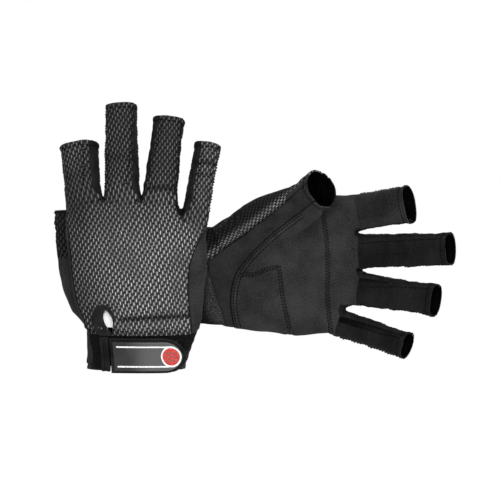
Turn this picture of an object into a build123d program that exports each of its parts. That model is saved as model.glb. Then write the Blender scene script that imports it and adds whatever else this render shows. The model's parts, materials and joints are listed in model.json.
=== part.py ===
from build123d import *
import os
from math import cos, radians, sin, tan

# A pair of short-finger sailing gloves, laid out as a pair: the right glove lies back up with its
# fingers along +Y, on top of the cuff of the left glove, which lies palm up with its fingers along +X.
# All sizes are in millimetres.
#
# Each glove is designed in its own hand frame, as a right glove:
#   U (x) across the hand towards the little finger, V (y) along the hand towards the fingertips,
#   W (z) out of the back of the hand.  The origin is at the middle of the wrist seam.
# The left glove is the mirror image, with its own fold of the fingers, thumb and cuff.

# ---- driving dimensions -------------------------------------------------------------------------
FABRIC = 1.4            # thickness of every sewn panel
PATCH = 0.8             # thickness of a palm overlay
SEAM_GAP = 0.3          # clearance between panels that move apart
END_ROUND = 24.0        # half width of the elliptical ends of the hand's sections

CUFF_END = -27.0        # the cuff's free edge
WRIST = 0.0             # seam between cuff and hand
FRONT = 88.0            # the hand's front edge, where index, middle and ring begin
LITTLE_FRONT = 77.0     # the front edge below the little finger
LITTLE_SPLIT = 28.9     # line between ring and little finger
PIVOT_BACK = 3.0        # knuckle pivot, behind the web line
PIVOT_DROP = 5.0        # knuckle pivot, towards the palm from the finger's axis
SLEEVE_START = 3.0      # a finger sleeve starts this far beyond the web line
WEB_DROP = 3.0          # the fingers' axes at the web line, towards the palm from the hand's middle
WALL_STRIP = 3.4        # half height of the strip between a finger's back and palm pieces

# Hand sections: V, U low, U high, half thickness to the back, half thickness to the palm
HAND_SECTIONS = [
    (25.0, -46.0, 44.0, 13.0, 12.5),
    (50.0, -49.0, 47.0, 13.0, 12.0),
    (75.0, -50.0, 47.0, 12.5, 11.5),
    (FRONT + 2.0, -50.0, 46.0, 11.0, 10.5),
]
CUFF_U = [(CUFF_END, -36.0, 31.0), (-13.0, -37.0, 36.0), (WRIST, -38.0, 41.0)]

# Fingers: web point U, V; length; width at web and tip; thickness at web and tip; walls at the
# thumb side and the little-finger side (True where a strip joins back and palm)
FINGERS = {
    "index": ((-38.4, 97.5), 37.0, (25.5, 25.5), (19.0, 18.0), (False, True)),
    "middle": ((-11.2, 98.5), 65.0, (25.0, 22.0), (19.0, 17.0), (True, True)),
    "ring": ((15.4, 98.0), 55.5, (24.0, 22.0), (18.5, 16.5), (True, True)),
    "little": ((39.4, 84.0), 51.5, (19.0, 18.5), (17.0, 15.5), (True, False)),
}

# Each glove: fold of the fingers, splay of each finger, cuff half thickness and shift at the three
# cuff sections, thumb path with half width and half thickness, and place on the table
GLOVES = {
    "right": {
        "curl": 27.0,
        "splay": {"index": -8.0, "middle": -3.0, "ring": 5.0, "little": 9.0},
        "cuff": [(8.5, -5.0), (9.5, -3.0), (11.5, 0.0)],
        "thumb": [
            ((-36.0, 20.0, -8.0), 15.0, 11.0),
            ((-42.5, 37.0, -13.2), 13.6, 9.4),
            ((-47.0, 54.0, -17.2), 12.3, 8.4),
            ((-50.0, 84.0, -22.4), 11.3, 8.2),
        ],
        "thumb_range": 35.0,
        "pitch": 9.5,
        "roll": 3.0,
        "place": (-79.1, -66.85),
    },
    "left": {
        "curl": 25.0,
        "splay": {"index": -9.5, "middle": -1.5, "ring": 8.5, "little": 18.0},
        "cuff": [(3.2, 5.8), (4.7, 4.6), (8.6, 2.6)],
        "thumb": [
            ((-33.0, 20.0, -7.0), 14.0, 11.0),
            ((-41.0, 37.0, -11.5), 12.6, 10.6),
            ((-46.5, 52.0, -17.5), 11.2, 10.4),
            ((-54.0, 68.0, -36.0), 12.0, 11.4),
        ],
        "thumb_range": 30.0,
        "pitch": 0.0,
        "roll": 0.0,
        "place": (-21.7, -20.65),
    },
}

# Seams and edges of the panels, as U and V
MESH_EDGE = [(41.0, WRIST), (35.5, 28.0), (34.9, 50.0), (40.0, 70.0), (70.0, 78.0)]
VENT = [(-25.0, 17.0), (-20.3, 10.5), (-19.6, 6.0), (-20.4, 0.4), (-24.2, 4.8), (-26.9, 11.2)]
ARCH_AT = (-25.2, 13.5)
ARCH_RADII = (8.4, 8.6)
LABEL = (-32.0, -15.0, -3.0, 21.0)
PALM_EDGE = [
    (-62.0, 74.0), (-43.7, 61.9), (-31.2, 45.5), (-18.9, 30.6), (-6.3, 18.2),
    (4.9, 10.5), (18.9, 6.9), (31.5, 6.9), (43.4, 9.5), (60.0, 14.0),
]
KNUCKLE_SEAM = 71.0     # seam across the palm below the fingers
HEEL_SEAM = 42.0        # seam across the heel overlay
HEEL_SIDE = 2.0         # seam along the heel overlay
OVERLAY_GAP = 1.0       # groove between neighbouring overlays
LABEL_THICK = 0.5

# Strap, in layers above the cuff
STRAP_LOW = -27.3       # the strap's edges along V
STRAP_HIGH = -1.4
STRAP_ROOT = -20.3      # end of the tab beside the wrist slit
STRAP_TIP = 31.5        # round end
SLIT = 1.0              # width of the wrist slit beside the tab
ROOT_BAR = 6.0          # width of the ribbed bar that the strap is sewn to
RIBS = 4
RIB_WIDTH = 1.1
RIB_HEIGHT = 0.8
RIB_MARGIN = 0.2
BORDER = 2.5            # stitched border round the moulded face
LOOP_AREA = (-16.0, 27.0, -25.0, -3.6)
LOOP_TOP = 0.6
HOOK_AREA = (-12.0, 18.5, -24.5, -4.2)
HOOK = (0.9, 1.5)
TAB = (1.5, 2.8)
FACE = (2.8, 3.3)
PRINT = (3.3, 3.5)
EMBLEM = (3.3, 3.7)
EMBLEM_AT = (21.7, -14.4)
EMBLEM_RADIUS = 6.0
RING_RADII = (6.3, 7.6)
LINE_OFFSET = 6.95      # the two lines run along the top and the bottom of the ring
LINE_U = (-15.6, 21.7)
LINE_WIDTH = 1.1

REACH = 70.0            # half size of the tools that cut the panels


# ---- hand and cuff ------------------------------------------------------------------------------
def stations(glove):
    cuff = []
    for (v, u_low, u_high), (half, shift) in zip(CUFF_U, glove["cuff"]):
        cuff.append((v, u_low, u_high, half, half, shift))
    return cuff + [(*row, 0.0) for row in HAND_SECTIONS]


def rim(row, grow):
    """Flat oval through one section, grown outwards by grow: elliptical ends joined by two flats."""
    v, u_low, u_high, back, palm, shift = row
    low, high = u_low - grow, u_high + grow
    end = END_ROUND + grow
    edges = []
    for half, start in ((back + grow, 0), (-(palm + grow), 180)):
        for centre, quarter in ((high - end, 0), (low + end, 90)):
            begin = quarter if half > 0 else 360 - quarter - 90
            edges.append(EllipticalCenterArc((centre, shift), end, abs(half), begin, arc_size=90))
        edges.append(Line((low + end, shift + half), (high - end, shift + half)))
    outline = make_face(Wire(edges))
    return Plane(origin=(0, v, 0), x_dir=(1, 0, 0), z_dir=(0, -1, 0)) * outline


def hand_body(glove, grow):
    """The whole outer form from the cuff's end to the finger roots, grown by grow."""
    return loft([rim(row, grow) for row in stations(glove)])


def slab(low, high):
    """Everything between two values of V."""
    return Pos(0, (low + high) / 2, 0) * Box(4 * REACH, high - low, 4 * REACH)


def prism(outline, back, base=0.0):
    """An outline in the U-V plane, carried from the height base to the back or to the palm."""
    return Pos(0, 0, base) * extrude(outline, amount=REACH if back else -REACH)


def rectangle(u_low, u_high, v_low, v_high):
    return Pos((u_low + u_high) / 2, (v_low + v_high) / 2) * Rectangle(u_high - u_low, v_high - v_low)


def surface_height(glove, u, v, grow):
    """W of the grown body's back at a point, from the two nearest sections."""
    rows = stations(glove)
    for first, second in zip(rows, rows[1:]):
        if first[0] <= v <= second[0]:
            share = (v - first[0]) / (second[0] - first[0])
            row = [a + (b - a) * share for a, b in zip(first, second)]
    into_end = max(row[1] + END_ROUND - u, u - (row[2] - END_ROUND), 0.0) / (END_ROUND + grow)
    return row[5] + (row[3] + grow) * (1 - into_end**2) ** 0.5


# ---- outlines in the U-V plane ------------------------------------------------------------------
def mesh_outline():
    """The mesh back: the suede of the palm comes round the little-finger side as far as MESH_EDGE."""
    edge = Spline(*MESH_EDGE)
    first, last = MESH_EDGE[0], MESH_EDGE[-1]
    sides = Polyline(last, (REACH, 2 * REACH), (-REACH, 2 * REACH), (-REACH, WRIST), first)
    return make_face([*edge.edges(), *sides.edges()])


def vent_outline():
    """Leaning drop that opens the back of the wrist above the slit."""
    return make_face(Spline(*VENT, periodic=True))


def binding_outline():
    """Arch of tape round the vent, standing on the wrist seam."""
    centre_u, centre_v = ARCH_AT
    half_width, height = ARCH_RADII
    legs = rectangle(centre_u - half_width, centre_u + half_width, WRIST + SEAM_GAP, centre_v)
    return Pos(*ARCH_AT) * Ellipse(half_width, height) + legs




def overlay_region():
    """Everything on the finger side of the palm overlay's lower edge."""
    edge = Spline(*PALM_EDGE)
    first, last = PALM_EDGE[0], PALM_EDGE[-1]
    rest = Polyline(last, (last[0], 2 * REACH), (first[0], 2 * REACH), first)
    return make_face([*edge.edges(), *rest.edges()])


def heel_outline():
    return overlay_region() & rectangle(HEEL_SIDE, PALM_EDGE[-1][0], WRIST, HEEL_SEAM)


def palm_outline():
    region = overlay_region() & rectangle(PALM_EDGE[0][0], PALM_EDGE[-1][0], WRIST, KNUCKLE_SEAM)
    return region - rectangle(HEEL_SIDE - OVERLAY_GAP, PALM_EDGE[-1][0], WRIST, HEEL_SEAM + OVERLAY_GAP)


def tab_outline(inset):
    """The strap's outline: square at the root, half round at the tip."""
    radius = (STRAP_HIGH - STRAP_LOW) / 2
    centre_v = (STRAP_HIGH + STRAP_LOW) / 2
    straight = rectangle(STRAP_ROOT + inset, STRAP_TIP - radius, STRAP_LOW + inset, STRAP_HIGH - inset)
    return straight + Pos(STRAP_TIP - radius, centre_v) * Circle(radius - inset)


# ---- fingers and thumb --------------------------------------------------------------------------
def finger_plane(glove, name):
    """Plane at the web line: z along the finger, x across it, y out of its back."""
    (u, v), *_ = FINGERS[name]
    splay = radians(glove["splay"][name])
    curl = radians(glove["curl"])
    along = Vector(sin(splay) * cos(curl), cos(splay) * cos(curl), -sin(curl))
    across = Vector(cos(splay), -sin(splay), 0)
    return Plane(origin=(u, v, -WEB_DROP), x_dir=across, z_dir=-along)


def finger_form(glove, name, grow, start, end):
    """Tapered elliptical form of one finger between two distances from the web line."""
    _, length, widths, depths, _ = FINGERS[name]
    plane = finger_plane(glove, name)
    faces = []
    for distance in (start, end):
        share = distance / length
        width = widths[0] + (widths[1] - widths[0]) * share
        depth = depths[0] + (depths[1] - depths[0]) * share
        section = Ellipse(width / 2 + grow, depth / 2 + grow)
        faces.append(plane.offset(-distance) * section)
    return loft(faces)


def thumb_planes(glove):
    path = [Vector(*row[0]) for row in glove["thumb"]]
    planes = []
    for index, point in enumerate(path):
        before = path[max(index - 1, 0)]
        after = path[min(index + 1, len(path) - 1)]
        along = (after - before).normalized()
        across = along.cross(Vector(0, 0, 1)).normalized()
        planes.append(Plane(origin=point, x_dir=across, z_dir=-along))
    return planes


def thumb_form(glove, grow, first, last, beyond=0.0):
    """Smooth thumb form through the path rows first to last, run on past the tip by beyond."""
    planes = thumb_planes(glove)
    faces = []
    for index in range(first, last + 1):
        _, half_width, half_depth = glove["thumb"][index]
        faces.append(planes[index] * Ellipse(half_width + grow, half_depth + grow))
    body = loft(faces)
    if beyond:
        _, half_width, half_depth = glove["thumb"][last]
        end = Plane(origin=planes[last].origin, x_dir=planes[last].x_dir, z_dir=-planes[last].z_dir)
        body += extrude(end * Ellipse(half_width + grow, half_depth + grow), amount=beyond)
    return body


def part_of_sleeve(sleeve, plane, rectangles):
    """The parts of a sleeve inside rectangles (x low, x high, y low, y high) of its own plane."""
    kept = []
    for x_low, x_high, y_low, y_high in rectangles:
        if y_high - y_low < 0.01:
            continue
        face = Pos((x_low + x_high) / 2, (y_low + y_high) / 2) * Rectangle(x_high - x_low, y_high - y_low)
        cutter = extrude(plane * face, amount=2 * REACH, both=True)
        kept += (sleeve & cutter).solids()
    return Compound(children=kept)


def sleeve_pieces(sleeve, plane, walls, strip):
    """Back, palm and wall pieces of a sleeve. A side with no wall is split at half height."""
    thumb_side = strip if walls[0] else 0.0
    little_side = strip if walls[1] else 0.0
    back = part_of_sleeve(sleeve, plane, [(-REACH, 0, thumb_side, REACH), (0, REACH, little_side, REACH)])
    palm = part_of_sleeve(sleeve, plane, [(-REACH, 0, -REACH, -thumb_side), (0, REACH, -REACH, -little_side)])
    wall = part_of_sleeve(sleeve, plane, [(-REACH, 0, -thumb_side, thumb_side),
                                          (0, REACH, -little_side, little_side)])
    return back, palm, wall


def joined(shape):
    """Fuse the two halves of a piece along its middle."""
    solids = shape.solids()
    whole = solids[0]
    for other in solids[1:]:
        whole = whole + other
    return whole


# ---- one glove ----------------------------------------------------------------------------------
def glove_nodes(glove):
    """Every piece of one glove, in the hand frame."""
    nodes = {}
    inner = hand_body(glove, -FABRIC)
    outer = hand_body(glove, 0.0)
    overlay = hand_body(glove, PATCH)
    hand_zone = slab(WRIST, FRONT) - Pos(LITTLE_SPLIT + REACH, LITTLE_FRONT + REACH, 0) * Box(
        2 * REACH, 2 * REACH, 4 * REACH)

    thumb_inside = thumb_form(glove, -FABRIC, 0, 3, beyond=5.0)
    shell = (outer - inner) & hand_zone
    back_zone = prism(mesh_outline(), True)
    vent = prism(vent_outline(), True)
    nodes["back_panel"] = (shell & back_zone) - vent
    nodes["palm_panel"] = shell - back_zone - thumb_inside

    overlay_layer = ((overlay - outer) & hand_zone) - thumb_inside
    nodes["palm_patch"] = overlay_layer & prism(palm_outline(), False)
    nodes["heel_patch"] = overlay_layer & prism(heel_outline(), False)
    nodes["knuckle_patch"] = overlay_layer & prism(
        rectangle(-REACH, REACH, KNUCKLE_SEAM + OVERLAY_GAP, FRONT), False)
    nodes["vent_binding"] = ((overlay - outer) & hand_zone) & (prism(binding_outline(), True) - vent)
    label_layer = inner - hand_body(glove, -FABRIC - LABEL_THICK)
    nodes["care_label"] = label_layer & prism(rectangle(*LABEL), True)

    nodes.update(cuff_nodes(glove, inner, outer))
    nodes.update(strap_nodes(glove))
    nodes.update(finger_nodes(glove, overlay))
    return nodes


def cuff_middle(glove):
    """W of the cuff's middle, which its fold moves off the hand's middle."""
    return glove["cuff"][1][1]


def cuff_nodes(glove, inner, outer):
    base = cuff_middle(glove)
    slit = prism(rectangle(STRAP_ROOT - SLIT, STRAP_ROOT, CUFF_END - 1, WRIST + 1), True, base)
    band = ((outer - inner) & slab(CUFF_END, WRIST)) - slit
    loop = (hand_body(glove, LOOP_TOP) - outer) & prism(rectangle(*LOOP_AREA), True, base)

    bar_high = STRAP_ROOT - SLIT
    bar_low = bar_high - ROOT_BAR
    bar_top = hand_body(glove, TAB[1] - RIB_HEIGHT)
    bar = (bar_top - outer) & prism(rectangle(bar_low, bar_high, CUFF_END, STRAP_HIGH), True, base)
    ribs = hand_body(glove, TAB[1]) - bar_top
    for index in range(RIBS):
        low = bar_low + RIB_MARGIN + index * ROOT_BAR / RIBS
        bar += ribs & prism(rectangle(low, low + RIB_WIDTH, CUFF_END, STRAP_HIGH), True, base)
    return {"cuff_band": band, "loop_patch": loop, "strap_root": bar}


def strap_nodes(glove):
    bodies = {}
    for grow in sorted({*HOOK, *TAB, *FACE, *PRINT, *EMBLEM}):
        bodies[grow] = hand_body(glove, grow)

    def layer(levels, outline):
        return (bodies[levels[1]] - bodies[levels[0]]) & prism(outline, True, cuff_middle(glove))

    hook_end = Pos(HOOK_AREA[1], (HOOK_AREA[2] + HOOK_AREA[3]) / 2)
    hook = rectangle(*HOOK_AREA) + hook_end * Circle((HOOK_AREA[3] - HOOK_AREA[2]) / 2)
    printed = Pos(*EMBLEM_AT) * (Circle(RING_RADII[1]) - Circle(RING_RADII[0]))
    for line_v in (EMBLEM_AT[1] - LINE_OFFSET, EMBLEM_AT[1] + LINE_OFFSET):
        printed += rectangle(*LINE_U, line_v - LINE_WIDTH / 2, line_v + LINE_WIDTH / 2)
    return {
        "hook_pad": layer(HOOK, hook),
        "strap_tab": layer(TAB, tab_outline(0.0)),
        "strap_face": layer(FACE, tab_outline(BORDER)),
        "strap_print": layer(PRINT, printed),
        "strap_emblem": layer(EMBLEM, Pos(*EMBLEM_AT) * Circle(EMBLEM_RADIUS)),
    }


def finger_nodes(glove, overlay):
    nodes = {}
    gussets = []
    clear = hand_body(glove, PATCH + 2 * SEAM_GAP)
    for name, (_, length, _, _, walls) in FINGERS.items():
        plane = finger_plane(glove, name)
        tube = finger_form(glove, name, 0.0, SLEEVE_START, length)
        tube -= finger_form(glove, name, -FABRIC, SLEEVE_START - 1, length + 1)
        back, palm, wall = sleeve_pieces(tube, plane, walls, WALL_STRIP)
        nodes[f"{name}_back"] = joined(back)
        nodes[f"{name}_palm"] = joined(palm)
        nodes[f"{name}_walls"] = wall
        front = LITTLE_FRONT if name == "little" else FRONT
        ring = finger_form(glove, name, 0.0, -16.0, SLEEVE_START - SEAM_GAP)
        ring -= finger_form(glove, name, -FABRIC, -17.0, SLEEVE_START)
        ring = ring & slab(front + SEAM_GAP, front + 60)
        if name == "little":
            ring = ring & (Pos(LITTLE_SPLIT + SEAM_GAP + REACH, 0, 0) * Box(2 * REACH, 8 * REACH, 8 * REACH))
        gussets += ring.solids()

    plane = thumb_planes(glove)[1]
    tube = thumb_form(glove, 0.0, 1, 3) - thumb_form(glove, -FABRIC, 0, 3, beyond=5.0)
    beyond_start = extrude(plane.offset(-SEAM_GAP) * Rectangle(90, 90), amount=-120)
    sleeve = (tube & beyond_start) - clear
    nodes["thumb_back"] = part_of_sleeve(sleeve, plane, [(-REACH, REACH, 0, REACH)])
    nodes["thumb_palm"] = part_of_sleeve(sleeve, plane, [(-REACH, REACH, -REACH, 0)])
    root = thumb_form(glove, 0.0, 0, 1) - thumb_form(glove, -FABRIC, 0, 3) - overlay
    root_solids = sorted(root.solids(), key=lambda solid: -solid.volume)
    gussets.append(root_solids[0])
    nodes["flex_gussets"] = Compound(children=gussets)
    return nodes


# ---- laying out the pair ------------------------------------------------------------------------
def laid_out(shape, side):
    """Turn a piece from the hand frame to the way its glove lies."""
    glove = GLOVES[side]
    if side == "right":
        turn = Pos(*glove["place"], 0) * Rot(Y=-glove["roll"]) * Rot(X=glove["pitch"])
        return turn * shape
    turn = Pos(*glove["place"], 0) * Rot(Z=-90)
    return turn * mirror(shape, about=Plane.XY)


def laid_out_point(point, side, lift):
    return (lift * laid_out(Vertex(*point), side)).vertices()[0].center()


def hinges(glove):
    """Name: (point, direction) in the hand frame, for every hinge of one glove and its wrist opening."""
    found = {}
    for name in FINGERS:
        plane = finger_plane(glove, name)
        pivot = plane.origin + plane.z_dir * PIVOT_BACK + Vector(0, 0, -PIVOT_DROP)
        found[name] = (pivot, -plane.x_dir)
    base = Vector(*glove["thumb"][0][0])
    found["thumb"] = (base, Vector(0, 0, 1))
    axis_u = STRAP_ROOT - 0.3
    low = Vector(axis_u, CUFF_END, surface_height(glove, axis_u, CUFF_END, TAB[1]))
    high = Vector(axis_u, WRIST, surface_height(glove, axis_u, WRIST, TAB[1]))
    found["strap"] = ((low + high) / 2, (low - high).normalized())
    found["wrist"] = (Vector(-2.5, CUFF_END, glove["cuff"][0][1]), Vector(0, -1, 0))
    return found


def hollows(glove):
    """Name: a point inside each hollow of one glove, in the hand frame."""
    found = {}
    for name, (_, length, *_) in FINGERS.items():
        plane = finger_plane(glove, name)
        found[f"{name}_root"] = plane.origin - plane.z_dir * (SLEEVE_START + 6.0)
        found[f"{name}_mouth"] = plane.origin - plane.z_dir * (length - 6.0)
    path = [Vector(*row[0]) for row in glove["thumb"]]
    found["thumb_root"] = path[2]
    found["thumb_mouth"] = path[3] + (path[2] - path[3]).normalized() * 6.0
    for name, v in (("hand_heel", 20.0), ("hand_middle", 45.0), ("hand_front", 70.0)):
        found[name] = Vector(0.0, v, 0.0)
    found["cuff"] = Vector(0.0, CUFF_END / 2, cuff_middle(glove))
    found["vent"] = Vector(-23.0, 8.0, surface_height(glove, -23.0, 8.0, -FABRIC / 2))
    return found


def build_pair():
    placed = {}
    anchors = {}
    inside = {}
    for side, glove in GLOVES.items():
        pieces = {}
        for name, shape in glove_nodes(glove).items():
            pieces[name] = laid_out(shape, side)
        lowest = min(piece.bounding_box().min.Z for piece in pieces.values())
        lift = Pos(0, 0, -lowest)
        for name, piece in pieces.items():
            placed[f"{side}_{name}"] = lift * piece
        for name, (point, axis) in hinges(glove).items():
            tail = laid_out_point(point, side, lift)
            along = (laid_out_point(point + axis, side, lift) - tail).normalized()
            # A mirrored glove turns the other way about the mirrored line of a hinge.
            turns_over = side == "left" and name != "wrist"
            anchors[f"{side}_{name}"] = (tail, -along if turns_over else along)
        for name, point in hollows(glove).items():
            inside[f"{side}_{name}"] = laid_out_point(point, side, lift)
    boxes = [piece.bounding_box() for piece in placed.values()]
    centre_x = (min(box.min.X for box in boxes) + max(box.max.X for box in boxes)) / 2
    centre_y = (min(box.min.Y for box in boxes) + max(box.max.Y for box in boxes)) / 2
    shift = Pos(-centre_x, -centre_y, 0)
    nodes = {name: shift * piece for name, piece in placed.items()}
    offset = Vector(centre_x, centre_y, 0)
    anchors = {name: (point - offset, axis) for name, (point, axis) in anchors.items()}
    inside = {name: point - offset for name, point in inside.items()}
    return nodes, anchors, inside


def main():
    os.makedirs("parts", exist_ok=True)
    nodes, anchors, inside = build_pair()
    for name, shape in nodes.items():
        solids = shape.solids()
        body = solids[0] if len(solids) == 1 else Compound(children=solids)
        export_step(body, f"parts/{name}.step")
    for name, (point, axis) in anchors.items():
        place = f"{point.X:.2f} {point.Y:.2f} {point.Z:.2f}"
        print(f"hinge {name}: {place}  axis {axis.X:.4f} {axis.Y:.4f} {axis.Z:.4f}")
    for name, point in inside.items():
        print(f"mark {name}: {point.X:.2f} {point.Y:.2f} {point.Z:.2f}")


main()
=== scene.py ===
"""The looks of a pair of short-finger sailing gloves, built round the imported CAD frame.

Each glove is one soft form (hand, cuff, fingers, thumb) that is fused, smoothed and wrinkled, then cut
along its real seam lines into panels. Lengths are in millimetres in the hand frame of a right glove:
U towards the little finger, V towards the fingertips, W out of the back of the hand. Pieces are
turned into the frame's metres when they are made.
"""
import json
from math import cos, pi, radians, sin, sqrt, tan

import bmesh
import bpy
import numpy as np
from mathutils import Matrix, Vector, noise
from mathutils.bvhtree import BVHTree


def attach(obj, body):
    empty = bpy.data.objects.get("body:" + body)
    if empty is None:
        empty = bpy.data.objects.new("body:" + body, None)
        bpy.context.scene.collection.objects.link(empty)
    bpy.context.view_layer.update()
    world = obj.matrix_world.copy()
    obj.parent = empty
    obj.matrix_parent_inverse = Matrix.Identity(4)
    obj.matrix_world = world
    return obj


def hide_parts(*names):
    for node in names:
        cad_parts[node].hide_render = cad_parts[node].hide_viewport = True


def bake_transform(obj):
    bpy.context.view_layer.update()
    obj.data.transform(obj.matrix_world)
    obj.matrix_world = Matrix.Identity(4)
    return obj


MM = 0.001
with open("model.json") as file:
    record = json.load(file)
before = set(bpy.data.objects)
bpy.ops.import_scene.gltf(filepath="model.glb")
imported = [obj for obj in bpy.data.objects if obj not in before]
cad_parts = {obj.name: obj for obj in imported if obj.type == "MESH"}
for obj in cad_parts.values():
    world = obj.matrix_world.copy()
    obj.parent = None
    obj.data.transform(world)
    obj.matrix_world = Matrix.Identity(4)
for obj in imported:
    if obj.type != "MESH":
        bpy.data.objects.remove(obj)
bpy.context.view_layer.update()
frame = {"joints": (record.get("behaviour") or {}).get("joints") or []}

# ---- driving dimensions, those of the CAD model to within a few millimetres ---------------------
CUFF_END = -27.0
WRIST = 0.0
FRONT = 88.0
LITTLE_FRONT = 77.0
WEB_DROP = 3.0
STRIP = 3.4             # half the width of a wall between two fingers
WEB_BACK = -8.0         # the walls run this far back into the hand
BEND = 12.0             # a finger's fold at the knuckle is spread this far each way
FINGER_CUT = 1.0        # a finger's own pieces begin this far along its axis
VOXEL = 0.85            # grid on which the parts of a glove are fused
SNAP = 0.03             # a cut takes a vertex this near to it as it is
REACH = 2.2             # squared distance from a digit's axis, in radii, that still counts as the digit
CLOTH = 1.1             # visible thickness of the cloth

# V, U low, U high, half depth of the back, half depth of the palm
HAND_SECTIONS = [
    (25.0, -46.0, 44.0, 13.0, 12.5),
    (50.0, -49.0, 47.0, 13.0, 12.0),
    (75.0, -50.0, 47.0, 12.5, 11.5),
    (90.0, -50.0, 46.0, 11.0, 10.5),
]
# V, U low, U high
CUFF_U = [(CUFF_END, -36.0, 31.0), (-13.0, -37.0, 36.0), (WRIST, -38.0, 41.0)]

# web point, length, widths, depths, walls on the thumb side and the little-finger side
FINGERS = {
    "index": ((-38.4, 97.5), 37.0, (25.5, 25.5), (19.0, 18.0), (False, True)),
    "middle": ((-11.2, 98.5), 65.0, (25.0, 22.0), (19.0, 17.0), (True, True)),
    "ring": ((15.4, 98.0), 55.5, (24.0, 22.0), (18.5, 16.5), (True, True)),
    "little": ((39.4, 84.0), 51.5, (19.0, 18.5), (17.0, 15.5), (True, False)),
}
DIGITS = (*FINGERS, "thumb")

# curl and splay are in degrees. cuff gives half depth and lift for each row of CUFF_U, and fold moves
# the two sides of the first rows of sections(). thumb and thumb_root give centre, half width and half
# depth; web gives its free edge and its root; strip_from and strip_top bound the thumb's mesh in V and W.
GLOVES = {
    "right": {
        "curl": 27.0,
        "splay": {"index": -8.0, "middle": -3.0, "ring": 5.0, "little": 9.0},
        "cuff": [(8.5, -5.0), (9.5, -3.0), (11.5, 0.0)],
        "thumb": [
            ((-36.0, 20.0, -8.0), 15.0, 11.0),
            ((-44.5, 37.0, -13.2), 13.6, 9.4),
            ((-49.0, 54.0, -17.2), 12.3, 8.4),
            ((-50.0, 84.0, -22.4), 11.3, 8.2),
        ],
        "web": [
            ((-14.0, 46.0, -10.0), (-40.0, 30.0, -10.0)),
            ((-26.0, 60.0, -14.0), (-45.0, 52.0, -16.0)),
            ((-39.0, 83.0, -21.0), (-50.0, 83.0, -22.0)),
        ],
        "fold": ((-4.0, 0.0), (-1.5, 0.0)),
        "thumb_root": ((-29.0, 2.0, -4.0), 8.0, 8.0),
        "flare": 0.02,
        "mouth_slant": 0.0,
        "palm_flat": 2.25,
        "strip_top": -12.0,
        "strip_from": 6.0,
        "turn": Matrix.Rotation(radians(-3.0), 3, "Y") @ Matrix.Rotation(radians(9.5), 3, "X"),
        "seed": 3.0,
    },
    "left": {
        "curl": 25.0,
        "splay": {"index": -9.5, "middle": -1.5, "ring": 8.5, "little": 18.0},
        "cuff": [(3.2, 5.8), (4.7, 4.6), (8.6, 2.6)],
        "thumb": [
            ((-33.0, 20.0, -7.0), 11.5, 11.0),
            ((-40.5, 37.0, -11.5), 11.6, 10.6),
            ((-46.5, 52.0, -17.5), 11.2, 10.4),
            ((-54.0, 68.0, -36.0), 12.0, 11.4),
        ],
        "web": [
            ((-13.5, 45.5, -9.0), (-38.0, 30.0, -9.5)),
            ((-25.0, 58.5, -17.0), (-44.0, 46.0, -15.0)),
            ((-44.5, 74.0, -35.0), (-54.0, 68.0, -35.5)),
        ],
        "fold": ((7.0, 8.0), (10.0, 5.5), (5.5, 1.0), (0.5, 0.0)),
        "thumb_root": ((-18.0, -2.0, -1.0), 9.0, 7.0),
        "flare": 0.07,
        "mouth_slant": 0.16,
        "palm_flat": 3.0,
        "strip_top": 2.5,
        "strip_from": -12.0,
        "turn": Matrix.Rotation(radians(-90.0), 3, "Z") @ Matrix.Diagonal((1, 1, -1)),
        "seed": 11.0,
    },
}

# strap: places in U and V, then bottom and top heights above the cuff
STRAP_LOW = -28.2
STRAP_HIGH = -0.6
STRAP_ROOT = -20.3
STRAP_TIP = 31.5
SLIT = 1.0
ROOT_BAR = 6.0
BORDER = 2.5
LOOP_AREA = (-16.0, 27.0, -25.0, -3.6)
HOOK_AREA = (-12.0, 26.0, -24.5, -4.2)
LABEL_AREA = (-28.0, -15.0, 4.5, 20.5)
EMBLEM_AT = (21.7, -14.4)
EMBLEM_STRETCH = (0.89, 1.12)
LINE_OFFSET = 7.95
LINE_START = -15.6
LINE_HALF = 0.55
LOOP = (0.0, 0.6)
HOOK = (0.9, 1.5)
LABEL = (-4.6, -4.1)
ROOT_TOP = 1.4
RIB_FOOT = 0.9
RIBS = ((0.1, 2.1, 2.5), (2.4, 1.7, 2.1), (4.3, 1.6, 2.8))      # place on the root, width, top
TAB = (1.5, 2.8)
FACE_TOP = 3.3
PRINT_LOW = FACE_TOP - 0.1
PRINT_TOP = 3.55
EMBLEM_TOP = 3.75

# vent: its top, and the middle and half size of the tape's outer arch
VENT_TOP = 18.6
ARCH_AT = (-24.3, 10.5)
ARCH_SIZE = (8.0, 12.0)

# stitches: pitch, length and radius of one, the same on the strap's border, and half a double row
STITCH = (2.2, 1.45, 0.40)
STRAP_STITCH = (2.3, 1.6, 0.28)
STRAP_ROW = 1.25
DOUBLE_ROW = 1.15
HEM_ROW = 3.3           # the round row of stitches lies this far inside a mouth

# mesh pattern: repeat, lean in degrees, half sizes of a light grain and of a dark pit, lean of a grain
PITCH_ACROSS = 3.8
PITCH_ALONG = 4.62
WEAVE_LEAN = 9.5
GRAIN = (0.37, 1.5)
PIT = (0.62, 0.85)
GRAIN_LEAN = -0.167


def settle(side):
    """Turn and shift, in millimetres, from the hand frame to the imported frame."""
    glove = GLOVES[side]
    turn = np.array(glove["turn"])
    joint = next(j for j in frame["joints"] if j["name"] == f"{side}_thumb_base")
    anchor = np.array(joint["pos_m"]) / MM
    return turn, anchor - turn @ np.array(glove["thumb"][0][0])


# ---- small numeric helpers ----------------------------------------------------------------------
def smoothstep(low, high, x):
    t = np.clip((x - low) / (high - low), 0, 1)
    return t * t * (3 - 2 * t)


def bump(x, width):
    """A soft ridge one high at zero."""
    return np.exp(-((x / width) ** 2))


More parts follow.
